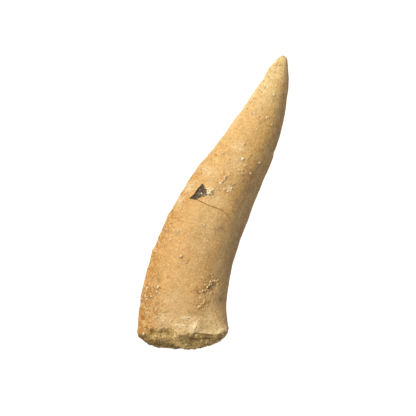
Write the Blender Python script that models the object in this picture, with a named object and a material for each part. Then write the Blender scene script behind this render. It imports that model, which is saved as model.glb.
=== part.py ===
"""A fossil fish tooth lying on its side: one solid, in metres, with +Z up.

The tooth is a curved fang. Its section is an oval with a narrow front edge, on the -X side, and a blunt
back edge, on the +X side. +Y runs from the broken root end to the tip. The origin is the middle of the
bounding box's floor.
"""

import math
from collections import namedtuple

import bmesh
import bpy
import numpy as np
from mathutils import Matrix, Vector, noise

MM = 0.001
NODE = "tooth"

# The fang, in millimetres. Each section stands square to the centreline, which runs through the points
# (x, y). It is `width` across, from the front edge to the back edge, and `depth` thick. Its `shoulder` tells
# how its upper side closes towards the back edge: 0.5 is round, less is boxier and 1 is a straight wedge.
Section = namedtuple("Section", "y x width depth shoulder")
SECTIONS = (
    Section(4.3, 0.92, 14.85, 10.75, 0.20),
    Section(5.6, 0.40, 14.65, 10.6, 0.22),
    Section(8.1, -0.35, 14.15, 10.3, 0.28),
    Section(11.4, -0.90, 13.75, 10.0, 0.33),
    Section(15.4, -1.30, 13.20, 9.5, 0.38),
    Section(19.5, -1.25, 12.65, 9.0, 0.42),
    Section(23.8, -0.85, 12.10, 8.5, 0.48),
    Section(28.1, -0.25, 11.15, 7.8, 0.54),
    Section(32.5, 0.70, 9.90, 7.0, 0.58),
    Section(37.0, 1.42, 8.75, 6.1, 0.58),
    Section(41.3, 1.97, 7.27, 5.0, 0.56),
    Section(45.6, 2.11, 5.47, 3.9, 0.52),
    Section(47.7, 2.15, 4.44, 3.2, 0.50),
    Section(49.9, 2.02, 3.30, 2.3, 0.48),
    Section(51.4, 2.10, 1.98, 1.3, 0.46),
    Section(52.45, 2.22, 0.0, 0.0, 0.46),
)
ROOT_Y = SECTIONS[0].y
TIP_Y = SECTIONS[-1].y
WIDEST_LEVEL = 0.47  # share of the depth that lies below the front and back edges
BELLY_Y = 20.0  # where the underside is lowest
TIP_LIFT = 1.2  # how far the underside has risen from there to the tip
HEADING_REACH = 1.0  # the centreline's direction is read over this much of it, either way

# How the rest of the section closes towards its edges, on the same scale as the shoulders.
UPPER_FRONT = 0.66
LOWER_FRONT = 0.62
LOWER_BACK = 0.50

# The broken root end, a rough dome inside a rim.
BREAK_BULGE = 3.2  # how far the dome stands out past the rim
BREAK_SQUARENESS = 2.2  # 2 is a round dome, more is boxier
RimStep = namedtuple("RimStep", "across step")
# The splintered rim: how far it steps towards the tip, from the front edge at -1 to the back edge at 1.
RIM = (
    RimStep(-1.00, -0.02),
    RimStep(-0.89, -0.20),
    RimStep(-0.82, 0.00),
    RimStep(-0.75, 0.38),
    RimStep(-0.60, 0.61),
    RimStep(-0.44, 0.58),
    RimStep(-0.23, 0.40),
    RimStep(-0.05, -0.15),
    RimStep(0.07, -0.28),
    RimStep(0.20, -0.23),
    RimStep(0.33, -0.27),
    RimStep(0.48, -0.50),
    RimStep(0.67, -0.42),
    RimStep(0.83, -0.20),
    RimStep(1.00, -0.05),
)
UNDER_WAVE = 0.40  # the rim's wave on the underside
RIM_FADE = 4.0  # the wave dies out over this length of the side
LIP = 1.50  # how far the rim flares up near the back edge
LIP_REACH = 3.8  # length of the side that rises to it
LIP_START = 0.25  # where the flare starts across the fang, from 0 in the middle
LIP_FULL = 1.00  # and where it is full
LIP_UNDER = -0.5  # sine of the angle under the back edge where the flare is gone
LIP_OVER = 0.3  # and of the one over it where it is full
LEDGE_DEPTH = 0.45  # step from the rim in to the dome
LEDGE_SHARE = 0.25  # share of the dome's height that the step takes
BREAK_ROUGHNESS = 0.24
BREAK_GRAIN = 1.8  # size of its lumps
BREAK_EDGE = 0.8  # the roughness runs this far over the rim

# The gentle unevenness of the worn surface.
SKIN_ROUGHNESS = 0.10
SKIN_GRAIN = 4.5
OCTAVES = 3  # finer layers of both kinds of unevenness
OCTAVE_DECAY = 1.0
OCTAVE_STEP = 2.0

# Local forms on the upper side: raised where the height is positive, sunk where it is negative.
Spot = namedtuple("Spot", "x y radius height")
SPOTS = (
    Spot(-2.20, 26.85, 0.55, 0.16),  # gritty lump beside the chip
    Spot(-3.20, 15.55, 0.26, 0.12),  # lone grain in the middle of the side
    Spot(1.50, 10.95, 0.50, -0.22),  # pitted streak above the root
    Spot(2.40, 11.70, 0.55, -0.24),
    Spot(3.20, 12.30, 0.55, -0.26),
    Spot(3.40, 13.30, 0.50, -0.24),
    Spot(2.60, 13.80, 0.45, -0.20),
    Spot(-5.30, 10.30, 0.50, -0.18),  # pitted patch on the front edge
    Spot(-5.10, 8.50, 0.50, -0.16),
    Spot(-5.80, 7.40, 0.60, -0.24),
    Spot(-6.30, 8.60, 0.90, 0.12),
    Spot(1.35, 50.40, 0.45, -0.12),  # pits just behind the tip
    Spot(-4.95, 30.60, 0.90, 0.16),  # knob and dents along the front edge
    Spot(-7.60, 21.20, 0.70, 0.14),
    Spot(-8.10, 14.60, 0.80, 0.12),
    Spot(-0.60, 45.60, 0.90, -0.12),
    Spot(5.40, 36.60, 0.40, -0.18),  # nick in the back edge
    Spot(-4.00, 2.20, 0.80, -0.45),  # hollows under the rim of the break
    Spot(-1.60, 2.90, 0.85, -0.45),
    Spot(3.30, 4.00, 0.80, -0.55),
    Spot(4.60, 4.40, 0.80, -0.60),
    Spot(5.80, 5.00, 0.70, -0.40),
    Spot(-2.90, 3.00, 0.40, 0.12),  # the bridge between the two on the left
    Spot(0.90, 3.20, 0.95, 0.35),  # lump of enamel in the middle
)
SPOT_REACH = 2.5  # in radii
UPPER_SIDE = 2.0  # the spots are on what lies above this height, or past the next one along the fang
THIN_END_Y = 49.0

# The chip that bares the dark inside: its corners, each with its depth below the surface there.
Corner = namedtuple("Corner", "x y depth")
CHIP = (
    Corner(-5.10, 24.75, 0.16),
    Corner(-3.70, 25.00, 0.22),
    Corner(-2.65, 26.05, 0.26),
    Corner(-2.55, 26.95, 0.26),
    Corner(-3.80, 27.90, 0.34),
)
CHIP_CUTTER = 4.0  # height of its cutter

REST_FLAT = 0.10  # how much of the belly is taken off, to leave the patch that the tooth rests on
FLOOR_CUTTER = 5.0

ROUND_THE_FANG = 240
ALONG_THE_FANG = 320
BREAK_SHARE = 0.24  # share of the rings that the broken end takes
TIP_CROWDING = 1.5  # how much closer the rings stand towards the tip
TRIANGLES_KEPT = 9400


def smooth_curve(values, places, at):
    """The value at `at` of the smooth curve through the values, which stand at the given places."""
    last = len(places) - 2
    i = min(max(int(np.searchsorted(places, at)) - 1, 0), last)
    step = places[i + 1] - places[i]
    t = min(max((at - places[i]) / step, 0.0), 1.0)

    def slope(k):
        low, high = max(k - 1, 0), min(k + 1, len(places) - 1)
        return (values[high] - values[low]) / (places[high] - places[low])

    rise_in, rise_out = slope(i) * step, slope(i + 1) * step
    t2, t3 = t * t, t * t * t
    return (
        values[i] * (2 * t3 - 3 * t2 + 1)
        + values[i + 1] * (3 * t2 - 2 * t3)
        + rise_in * (t3 - 2 * t2 + t)
        + rise_out * (t3 - t2)
    )


def smoothstep(low, high, value):
    """0 below low, 1 above high, and a smooth rise between them."""
    t = min(max((value - low) / (high - low), 0.0), 1.0)
    return t * t * (3 - 2 * t)


def closing(u, front, back):
    """The section's height as a share of the full one, at u: -1 is its front edge and 1 its back edge."""
    peak = (front - back) / (front + back)
    top = (1 + peak) ** front * (1 - peak) ** back
    return max(1 + u, 0.0) ** front * max(1 - u, 0.0) ** back / top


def rim_wave(angle):
    """How far the rim of the break steps towards the tip, at an angle round the fang."""
    u = math.cos(angle)
    if math.sin(angle) >= 0:
        return smooth_curve([r.step for r in RIM], [r.across for r in RIM], u)
    slope = (RIM[-1].step - RIM[0].step) / 2
    return RIM[0].step + slope * (u + 1) + UNDER_WAVE * math.sin(math.pi * u)


def lip(angle, from_rim):
    """How far the rim's flare lifts the surface, at an angle round the fang and a distance from the rim."""
    across = smoothstep(LIP_START, LIP_FULL, math.cos(angle))
    round_it = smoothstep(LIP_UNDER, LIP_OVER, math.sin(angle))
    return LIP * across * round_it * (1 - smoothstep(0.0, LIP_REACH, from_rim))


class Fang:
    """The form of the tooth, read from its sections. Angles round it start at the back edge."""

    def __init__(self, sections):
        self.places = [s.y for s in sections]
        self.x = [s.x for s in sections]
        # A tip rounds off as a root of the distance, so the squares are what runs smoothly there.
        self.width2 = [s.width**2 for s in sections]
        self.depth2 = [s.depth**2 for s in sections]
        self.shoulders = [s.shoulder for s in sections]

    def centre(self, y):
        return Vector((smooth_curve(self.x, self.places, y), y))

    def along(self, y):
        """Unit vector in the plan, along the centreline."""
        low, high = max(y - HEADING_REACH, ROOT_Y), min(y + HEADING_REACH, TIP_Y)
        return (self.centre(high) - self.centre(low)).normalized()

    def width(self, y):
        return math.sqrt(max(smooth_curve(self.width2, self.places, y), 0.0))

    def depth(self, y):
        return math.sqrt(max(smooth_curve(self.depth2, self.places, y), 0.0))

    def underside(self, y):
        """Height of the underside above the floor that the tooth lies on."""
        return TIP_LIFT * ((y - BELLY_Y) / (TIP_Y - BELLY_Y)) ** 2

    def at(self, y, angle, share=1.0):
        """The point at an angle round the section at y, and at a share of the way out from its middle."""
        u = math.cos(angle)
        depth = self.depth(y)
        if math.sin(angle) >= 0:
            shoulder = smooth_curve(self.shoulders, self.places, y)
            rise = closing(u, UPPER_FRONT, shoulder) * (1 - WIDEST_LEVEL) * depth
        else:
            rise = -closing(u, LOWER_FRONT, LOWER_BACK) * WIDEST_LEVEL * depth
        along = self.along(y)
        plan = self.centre(y) + Vector((along.y, -along.x)) * (u * self.width(y) / 2 * share)
        return Vector((plan.x, plan.y, self.underside(y) + WIDEST_LEVEL * depth + rise * share))

    def on_side(self, reach, angle):
        """The point on the fang's side: reach is 0 at the rim of the break and 1 at the tip."""
        from_rim = (TIP_Y - ROOT_Y) * (1 - (1 - reach) ** TIP_CROWDING)
        wave = rim_wave(angle) * (1 - smoothstep(0.0, RIM_FADE, from_rim))
        lift = Vector((0.0, 0.0, lip(angle, from_rim)))
        return self.at(ROOT_Y + from_rim, angle) + self.along(ROOT_Y).to_3d() * wave + lift

    def on_break(self, turn, angle):
        """The point on the broken end: turn is 0 at its middle and 1 at its rim."""
        share = math.sin(turn * math.pi / 2) ** (2 / BREAK_SQUARENESS)
        height = math.cos(turn * math.pi / 2) ** (2 / BREAK_SQUARENESS)
        point = self.at(ROOT_Y, angle, share)
        inwards = (self.at(ROOT_Y, angle, 0.0) - point).normalized()
        ledge = LEDGE_DEPTH * smoothstep(0.0, LEDGE_SHARE, height) * abs(math.sin(angle))
        along = self.along(ROOT_Y).to_3d()
        lift = Vector((0.0, 0.0, lip(angle, 0.0) * (1 - smoothstep(0.0, 1.0, height))))
        return point + along * (rim_wave(angle) * share - BREAK_BULGE * height) + inwards * ledge + lift


def relief(point, broken):
    """How far the surface stands out at a point: broken is 1 on the break and 0 on the fang."""
    layers = (OCTAVE_DECAY, OCTAVE_STEP, OCTAVES)
    height = SKIN_ROUGHNESS * noise.fractal(point / SKIN_GRAIN, *layers)
    height += BREAK_ROUGHNESS * noise.fractal(point / BREAK_GRAIN, *layers) * broken
    if point.z > UPPER_SIDE or point.y > THIN_END_Y:
        for spot in SPOTS:
            away = math.hypot(point.x - spot.x, point.y - spot.y) / spot.radius
            if away < SPOT_REACH:
                height += spot.height * math.exp(-away * away)
    return height


def shape_fang(form, fang):
    """Shapes a unit sphere as the tooth, with the sphere's bottom as the middle of the break."""
    broken = {}
    for vert in form.verts:
        x, y, z = vert.co.normalized()
        angle = math.atan2(y, x)
        ring = 0.5 + math.asin(max(-1.0, min(1.0, z))) / math.pi
        if ring < BREAK_SHARE:
            vert.co = fang.on_break(ring / BREAK_SHARE, angle)
            broken[vert] = 1.0
        else:
            vert.co = fang.on_side((ring - BREAK_SHARE) / (1 - BREAK_SHARE), angle)
            from_rim = (vert.co - fang.at(ROOT_Y, angle)).dot(fang.along(ROOT_Y).to_3d()) - rim_wave(angle)
            broken[vert] = 1 - smoothstep(0.0, BREAK_EDGE, from_rim)
    form.normal_update()
    moves = [(vert, vert.normal * relief(vert.co, broken[vert])) for vert in form.verts]
    for vert, move in moves:
        vert.co += move


def clear_scene():
    """Removes whatever the scene holds."""
    for obj in list(bpy.data.objects):
        bpy.data.objects.remove(obj, do_unlink=True)


def collection(name):
    """A new collection in the scene."""
    made = bpy.data.collections.new(name)
    bpy.context.scene.collection.children.link(made)
    return made


def new_object(name, form, parts):
    """A new object from a bmesh, which is then freed."""
    mesh = bpy.data.meshes.new(name)
    form.to_mesh(mesh)
    form.free()
    made = bpy.data.objects.new(name, mesh)
    parts.objects.link(made)
    return made


def fossil_material():
    """Tan fossil enamel, faintly glossy."""
    material = bpy.data.materials.new("fossil_enamel")
    material.use_nodes = True
    shader = material.node_tree.nodes["Principled BSDF"]
    shader.inputs["Base Color"].default_value = (0.62, 0.41, 0.20, 1.0)
    shader.inputs["Roughness"].default_value = 0.5
    shader.inputs["Metallic"].default_value = 0.0
    return material


def make_tooth(parts):
    """The tooth, before its chip and its resting patch are cut."""
    form = bmesh.new()
    bmesh.ops.create_uvsphere(form, u_segments=ROUND_THE_FANG, v_segments=ALONG_THE_FANG, radius=1.0)
    shape_fang(form, Fang(SECTIONS))
    tooth = new_object(NODE, form, parts)
    tooth.data.materials.append(fossil_material())
    tooth.data.shade_smooth()
    return tooth


def height_over(tooth, x, y):
    """Height of the tooth's upper surface over a point of the plan."""
    sky = 2 * SECTIONS[0].depth
    hit, place, _, _ = tooth.ray_cast(Vector((x, y, sky)), Vector((0.0, 0.0, -1.0)))
    if not hit:
        raise ValueError(f"nothing of the tooth lies under ({x}, {y})")
    return place.z


def prism(name, corners, height, cutters):
    """A cutter that stands on the polygon through the corners."""
    form = bmesh.new()
    floor = form.faces.new([form.verts.new(corner) for corner in corners])
    raised = bmesh.ops.extrude_face_region(form, geom=[floor])["geom"]
    top = [part for part in raised if isinstance(part, bmesh.types.BMVert)]
    bmesh.ops.translate(form, vec=Vector((0.0, 0.0, height)), verts=top)
    bmesh.ops.triangulate(form, faces=form.faces[:])
    bmesh.ops.recalc_face_normals(form, faces=form.faces[:])
    made = new_object(name, form, cutters)
    made.hide_render = True
    made.display_type = "WIRE"
    return made


def cut(tooth, cutter):
    """Cuts the cutter's shape out of the tooth."""
    modifier = tooth.modifiers.new("cut_" + cutter.name, "BOOLEAN")
    modifier.operation = "DIFFERENCE"
    modifier.object = cutter
    modifier.solver = "EXACT"


def main():
    clear_scene()
    parts = collection("fossil_fish_tooth")
    cutters = collection("cutters")
    tooth = make_tooth(parts)
    bpy.context.view_layer.update()

    chip_floor = [(c.x, c.y, height_over(tooth, c.x, c.y) - c.depth) for c in CHIP]
    chip = prism("chip", chip_floor, CHIP_CUTTER, cutters)
    under = REST_FLAT - FLOOR_CUTTER
    sheet = ((-TIP_Y, -TIP_Y), (TIP_Y, -TIP_Y), (TIP_Y, 2 * TIP_Y), (-TIP_Y, 2 * TIP_Y))
    floor = prism("floor", [(x, y, under) for x, y in sheet], FLOOR_CUTTER, cutters)

    # The model is drawn in millimetres up to here. It now goes to metres, with its origin under its middle.
    places = np.array([vert.co for vert in tooth.data.vertices])
    middle = (places.min(axis=0) + places.max(axis=0)) / 2
    to_frame = Matrix.Scale(MM, 4) @ Matrix.Translation((-middle[0], -middle[1], -REST_FLAT))
    for obj in (tooth, chip, floor):
        obj.data.transform(to_frame)

    lighten = tooth.modifiers.new("facets", "DECIMATE")
    lighten.ratio = TRIANGLES_KEPT / (2 * len(tooth.data.polygons))
    cut(tooth, chip)
    cut(tooth, floor)


main()
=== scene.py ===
"""The looks of the fossil fish tooth: the curved fang with its broken root end, and the sand stuck to it.

The tooth is drawn in millimetres, in a drawing frame of its own: +Y runs from the root end to the tip, +X to
the blunt back edge and +Z up. `Drawing.place` takes a finished piece from there to the row frame, in metres.
"""

import logging
import math
import random
from collections.abc import Iterator
from contextlib import contextmanager
from dataclasses import dataclass, field, replace
from enum import Enum
from itertools import pairwise
from typing import TypeVar

import bpy
import numpy as np
from mathutils import Matrix, Vector, noise
from mathutils.bvhtree import BVHTree


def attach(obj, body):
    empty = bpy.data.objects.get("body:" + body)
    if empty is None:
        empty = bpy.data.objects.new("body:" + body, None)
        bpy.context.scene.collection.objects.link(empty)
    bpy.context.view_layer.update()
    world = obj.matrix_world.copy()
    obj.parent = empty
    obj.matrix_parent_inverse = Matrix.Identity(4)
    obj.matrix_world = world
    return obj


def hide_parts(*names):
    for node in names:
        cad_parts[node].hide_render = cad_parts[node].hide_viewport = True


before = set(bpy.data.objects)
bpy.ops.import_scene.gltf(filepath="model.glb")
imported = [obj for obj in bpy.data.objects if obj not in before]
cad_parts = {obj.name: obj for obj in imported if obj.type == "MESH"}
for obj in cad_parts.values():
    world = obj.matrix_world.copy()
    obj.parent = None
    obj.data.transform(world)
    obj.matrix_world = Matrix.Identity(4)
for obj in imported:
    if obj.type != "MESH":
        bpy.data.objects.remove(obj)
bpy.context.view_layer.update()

log = logging.getLogger("fossil_tooth")

MM = 0.001
NODE = "tooth"
SLOT = "fossil_enamel"
SKY = 40.0  # a height over the whole tooth, in millimetres
TINY = 1e-6
MIX_FACTOR, MIX_UNDER, MIX_OVER, MIX_RESULT = 0, 6, 7, 2  # where the Mix node has its colour sockets
NOISE_LAYERS = (1.0, 2.0, 3)  # how fast an unevenness's layers weaken, how much finer each is, and how many

Colour = tuple[float, float, float]
Span = tuple[float, float]
Array = np.ndarray
Piece = bpy.types.Object
Finish = bpy.types.Material
Socket = bpy.types.NodeSocket
Kind = TypeVar("Kind")


class Mask(Enum):
    """The point attributes that the finishes read. Each runs from 0 to 1, apart from LAY and TONE."""

    CRUST = "crust"  # the broken root end
    SHADE = "shade"  # painted shade in the hollows under the rim and low on the break, and dirt in the pits
    OCHRE = "ochre"  # orange-brown stain
    CHALK = "chalk"  # pale, worn patches, and a painted highlight along the rim's lip
    GREEN = "green"  # yellow-green tint
    BROWN = "brown"  # grey-brown stain, and the painted shadow beside each sand grain
    PITTED = "pitted"  # places with many small pits
    PALE = "pale"  # the paler, yellower half towards the tip
    BRIGHT = "bright"  # painted light: where the skin's colour is brightened to look more strongly lit
    BACK = "back"  # how far round towards the back edge
    LAY = "lay"  # place on the fang, unrolled along its length
    TONE = "tone"  # shade of a sand grain


@dataclass(frozen=True)
class Section:
    """A cross section of the fang, square to its centreline, in millimetres.

    Its shoulder tells how its upper side closes towards the back edge: 0.5 is round, and 1 is a wedge.
    """

    y: float
    x: float
    width: float
    depth: float
    shoulder: float


@dataclass(frozen=True)
class Spot:
    """A small form of the surface, seen from above: raised, or sunk where the height is negative."""

    x: float
    y: float
    radius: float
    height: float


@dataclass(frozen=True)
class Patch:
    """A soft patch: its middle, its reach across and along, its strength and its turn in degrees."""

    x: float
    y: float
    across: float
    along: float
    amount: float
    turn: float = 0.0


def rows(kind: type[Kind], *numbers: tuple) -> tuple[Kind, ...]:
    """Makes one entry of a kind from each row of numbers."""
    return tuple(kind(*row) for row in numbers)


def smoothstep(low: float, high: float, value: Array) -> Array:
    """Rises smoothly from 0 at low to 1 at high. Low may be the larger number."""
    t = np.clip((value - low) / (high - low), 0.0, 1.0)
    return t * t * (3 - 2 * t)


@dataclass(frozen=True)
class Ramp:
    """A smooth change, from its start at low to its end at high. Low may be the larger number."""

    low: float
    high: float
    start: float = 0.0
    end: float = 1.0

    def at(self, values: Array) -> Array:
        """The ramp's height at each value."""
        return self.start + (self.end - self.start) * smoothstep(self.low, self.high, values)


@dataclass(frozen=True)
class Zone:
    """A part of the side with soft borders: the ramps that bound it across and along the fang."""

    across: tuple[Ramp, ...]
    along: tuple[Ramp, ...] = ()

    def at(self, across: Array, along: Array) -> Array:
        """The zone's strength at each place.

        Args:
            across: the places across, from -1 at the front edge to 1 at the back.
            along: the same places along the fang.

        Returns:
            The product of its ramps there.
        """
        strength = np.ones(len(across))
        for ramps, places in ((self.across, across), (self.along, along)):
            for ramp in ramps:
                strength *= ramp.at(places)
        return strength


def smooth_curve(values: Array, places: Array, at: Array) -> Array:
    """Reads a smooth curve that runs through the given values.

    Args:
        values: the curve's values.
        places: where they stand, rising.
        at: the places to read the curve at.

    Returns:
        The curve's value at each of those places.
    """
    last = len(places) - 1
    i = np.clip(np.searchsorted(places, at) - 1, 0, last - 1)
    step = places[i + 1] - places[i]
    t = np.clip((at - places[i]) / step, 0.0, 1.0)
    low, high = np.maximum(np.arange(last + 1) - 1, 0), np.minimum(np.arange(last + 1) + 1, last)
    slope = (values[high] - values[low]) / (places[high] - places[low])
    t2, t3 = t * t, t * t * t
    return (
        values[i] * (2 * t3 - 3 * t2 + 1)
        + values[i + 1] * (3 * t2 - 2 * t3)
        + slope[i] * step * (t3 - 2 * t2 + t)
        + slope[i + 1] * step * (t3 - t2)
    )


def table(entries: tuple[Span, ...], at: Array) -> Array:
    """Reads a smooth curve through entries of a place and its value."""
    places, values = np.array(entries).T
    return smooth_curve(values, places, at)


def roughness(points: Array, grain: float) -> Array:
    """Random unevenness at each point, mostly between -1 and 1, with lumps of the grain's size."""
    return np.array([noise.fractal(Vector(point) / grain, *NOISE_LAYERS) for point in points])


def bump_field(points: Array, spots: tuple[Spot, ...]) -> Array:
    """Adds up small round forms over the plan.

    Args:
        points: the places to read, of which x and y count.
        spots: the forms.

    Returns:
        The height that they give at each point.
    """
    height = np.zeros(len(points))
    for spot in spots:
        away = ((points[:, 0] - spot.x) ** 2 + (points[:, 1] - spot.y) ** 2) / spot.radius**2
        height += spot.height * np.exp(-away)
    return height


def patch_field(points: Array, patches: tuple[Patch, ...]) -> Array:
    """Lays soft patches over each other, so that they build up without passing 1.

    Args:
        points: the places to read, of which x and y count.
        patches: the patches.

    Returns:
        Their strength at each point, from 0 to 1.
    """
    clear = np.ones(len(points))
    for patch in patches:
        turn = math.radians(patch.turn)
        dx, dy = points[:, 0] - patch.x, points[:, 1] - patch.y
        across = (dx * math.cos(turn) + dy * math.sin(turn)) / patch.across
        along = (dy * math.cos(turn) - dx * math.sin(turn)) / patch.along
        clear *= 1 - patch.amount * np.exp(-(across**2) - along**2)
    return 1 - clear


def coordinates(piece: Piece) -> Array:
    """The places of a mesh's vertices, one row each."""
    flat = np.empty(3 * len(piece.data.vertices))
    piece.data.vertices.foreach_get("co", flat)
    return flat.reshape(-1, 3)


def move_vertices(piece: Piece, places: Array) -> None:
    """Puts a mesh's vertices at the given places."""
    piece.data.vertices.foreach_set("co", places.ravel())
    piece.data.update()


def normals(piece: Piece) -> Array:
    """The normals of a mesh's vertices, one row each."""
    return np.array([normal.vector for normal in piece.data.vertex_normals])


def paint(piece: Piece, mask: Mask, values: Array) -> None:
    """Stores one number, or one row of three, at each vertex of a piece.

    Args:
        piece: the mesh object.
        mask: which attribute it is.
        values: the numbers, in the order of the vertices.
    """
    kind, entry = ("FLOAT", "value") if values.ndim == 1 else ("FLOAT_VECTOR", "vector")
    attribute = piece.data.attributes.new(mask.value, kind, "POINT")
    attribute.data.foreach_set(entry, values.astype(np.float32).ravel())


def painted(piece: Piece, mask: Mask) -> Array:
    """The numbers that a mask stores at the vertices of a piece."""
    values = np.empty(len(piece.data.vertices))
    piece.data.attributes[mask.value].data.foreach_get("value", values)
    return values


def deselect_all() -> None:
    """Leaves nothing selected, so that an operator acts only on what is added or picked next."""
    bpy.ops.object.select_all(action="DESELECT")


def activate(piece: Piece) -> None:
    """Makes a piece the only one that operators act on."""
    deselect_all()
    piece.select_set(True)
    bpy.context.view_layer.objects.active = piece


def apply_modifier(piece: Piece, modifier: bpy.types.Modifier) -> None:
    """Applies a modifier to its piece."""
    activate(piece)
    bpy.ops.object.modifier_apply(modifier=modifier.name)


@contextmanager
def editing(piece: Piece) -> Iterator[None]:
    """Opens a piece in edit mode with all of it selected, and closes it again."""
    activate(piece)
    bpy.ops.object.mode_set(mode="EDIT")
    bpy.ops.mesh.select_all(action="SELECT")
    yield
    bpy.ops.object.mode_set(mode="OBJECT")


def face_outwards(piece: Piece) -> None:
    """Turns the faces of a closed mesh to point outwards."""
    with editing(piece):
        bpy.ops.mesh.normals_make_consistent(inside=False)


def turn_selection(angle: float, centre: Vector) -> None:
    """Turns the selection counterclockwise about the vertical through a point. The operator is clockwise."""
    bpy.ops.transform.rotate(value=-angle, orient_axis="Z", center_override=centre)


@dataclass(frozen=True)
class Drawing:
    """Where the row frame's origin lies in the drawing."""

    middle: Vector = Vector((0.1029, 26.2260, 0.10))

    def place(self, piece: Piece) -> None:
        """Takes a mesh from the drawing, in millimetres, to the row frame, in metres."""
        piece.data.transform(Matrix.Scale(MM, 4) @ Matrix.Translation(-self.middle))

    def point(self, x: float, y: float, z: float) -> Vector:
        """A point of the drawing, in the row frame."""
        return (Vector((x, y, z)) - self.middle) * MM


@dataclass(frozen=True)
class FangForm:
    """The fang's form: its sections, and how its side closes round them. Angles start at the back edge."""

    sections: tuple[Section, ...] = rows(
        Section,
        (4.3, 0.92, 14.85, 10.75, 0.2), (5.6, 0.4, 14.65, 10.6, 0.22), (8.1, -0.35, 14.15, 10.3, 0.28),
        (11.4, -0.9, 13.75, 10.0, 0.33), (15.4, -1.3, 13.2, 9.5, 0.38), (19.5, -1.25, 12.65, 9.0, 0.42),
        (23.8, -0.85, 12.1, 8.5, 0.48), (28.1, -0.25, 11.15, 7.8, 0.54), (32.5, 0.7, 9.9, 7.0, 0.58),
        (37.0, 1.42, 8.75, 6.1, 0.58), (41.3, 1.97, 7.27, 5.0, 0.56), (45.6, 2.11, 5.47, 3.9, 0.52),
        (47.7, 2.15, 4.44, 3.2, 0.5), (49.9, 2.02, 3.3, 2.3, 0.48), (51.4, 2.1, 1.98, 1.3, 0.46),
        (52.45, 2.22, 0.0, 0.0, 0.46),
    )
    widest_level: float = 0.47  # share of the depth that lies below the front and back edges
    belly_y: float = 20.0  # where the underside is lowest
    tip_lift: float = 1.2  # how far the underside has risen from there to the tip
    upper_front: float = 0.66  # how the upper side closes towards the front edge
    lower_front: float = 0.62  # and the underside, towards each edge
    lower_back: float = 0.50
    heading_reach: float = 1.0  # the centreline's direction is read over this much of it, either way
    stops: int = 400  # where the centreline is read to find a point's place on the fang
    rounds: int = 4  # how often that place is corrected
    least_half: float = 0.2  # the tip is taken to be at least this wide and thick, halved
    turns: int = 721  # angles at which the root's section is read

    @property
    def root_y(self) -> float:
        """Where the side starts, at the rim of the break."""
        return self.sections[0].y

    @property
    def tip_y(self) -> float:
        """Where the fang ends."""
        return self.sections[-1].y

    def _read(self, name: str, at: Array, power: int = 1) -> Array:
        """Reads one size of the sections along the fang.

        Args:
            name: which size.
            at: the places along the fang.
            power: 2 where the size closes as a root of the distance, as it does at a round tip.

        Returns:
            The size at each place.
        """
        places = np.array([section.y for section in self.sections])
        values = np.array([getattr(section, name) for section in self.sections]) ** power
        read = smooth_curve(values, places, np.asarray(at, float))
        return read if power == 1 else np.maximum(read, 0.0) ** (1 / power)

    def width(self, y: Array) -> Array:
        """Distance from the front edge to the back edge."""
        return self._read("width", y, power=2)

    def depth(self, y: Array) -> Array:
        """Thickness of the fang as it lies."""
        return self._read("depth", y, power=2)

    def middle_x(self, y: Array) -> Array:
        """Where the centreline is across."""
        return self._read("x", y)

    def underside(self, y: Array) -> Array:
        """Height of the underside."""
        return self.tip_lift * ((y - self.belly_y) / (self.tip_y - self.belly_y)) ** 2

    def level(self, y: Array) -> Array:
        """Height of the front and back edges."""
        return self.underside(y) + self.widest_level * self.depth(y)

    def heading(self, y: float) -> float:
        """Angle of the section at y, in radians: 0 where the centreline runs along +Y."""
        low, high = max(y - self.heading_reach, self.root_y), min(y + self.heading_reach, self.tip_y)
        return math.atan2(float(self.middle_x(low) - self.middle_x(high)), high - low)

    def along(self, y: float) -> Array:
        """Unit vector along the centreline."""
        return np.array([-math.sin(self.heading(y)), math.cos(self.heading(y)), 0.0])

    def centre(self, y: float) -> Vector:
        """The middle of the section at y, at the height of its edges."""
        return Vector((float(self.middle_x(y)), y, float(self.level(y))))

    def rise(self, angles: Array, y: Array) -> Array:
        """How high the section's outline stands over its edges, as a share of its depth.

        Args:
            angles: the angles round the section.
            y: where along the fang each of them is.

        Returns:
            The height at each angle, negative on the underside.
        """
        u, over = np.cos(angles), np.sin(angles) >= 0
        front = np.where(over, self.upper_front, self.lower_front)
        back = np.where(over, self._read("shoulder", y), self.lower_back)
        peak = (front - back) / (front + back)
        top = (1 + peak) ** front * (1 - peak) ** back
        closing = np.maximum(1 + u, 0.0) ** front * np.maximum(1 - u, 0.0) ** back / top
        return closing * np.where(over, 1 - self.widest_level, -self.widest_level)

    def locate(self, points: Array) -> tuple[Array, Array, Array]:
        """Finds where points lie on the fang.

        Args:
            points: places on or near its surface.

        Returns:
            For each point, its place along the centreline, its place across from -1 at the front edge to 1 at
            the back, and its angle round the section.
        """
        stops = np.linspace(self.root_y, self.tip_y, self.stops)
        middles = np.stack([self.middle_x(stops), stops], axis=1)
        ways = np.stack([self.along(y)[:2] for y in stops])
        y = points[:, 1].copy()
        for _ in range(self.rounds):
            i = np.clip(np.searchsorted(stops, y), 0, len(stops) - 1)
            y = y + ((points[:, :2] - middles[i]) * ways[i]).sum(axis=1)
        i = np.clip(np.searchsorted(stops, y), 0, len(stops) - 1)
        across = (points[:, 0] - middles[i, 0]) * ways[i, 1] - (points[:, 1] - middles[i, 1]) * ways[i, 0]
        half = np.maximum(self.width(stops[i]) / 2, self.least_half)
        up = (points[:, 2] - self.level(stops[i])) / np.maximum(self.depth(stops[i]) / 2, self.least_half)
        return y, across / half, np.arctan2(up, across / half)

    def root_angle(self, directions: Array) -> Array:
        """Turns directions from the middle of the root's section into its own angles.

        Args:
            directions: angles seen from the middle, as locate gives them.

        Returns:
            The section's own angles, whose cosine is the place across.
        """
        own = np.linspace(-np.pi, np.pi, self.turns)
        seen = np.arctan2(2 * self.rise(own, np.full(len(own), self.root_y)), np.cos(own))
        order = np.argsort(seen)
        return np.interp(directions, seen[order], own[order])


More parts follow.
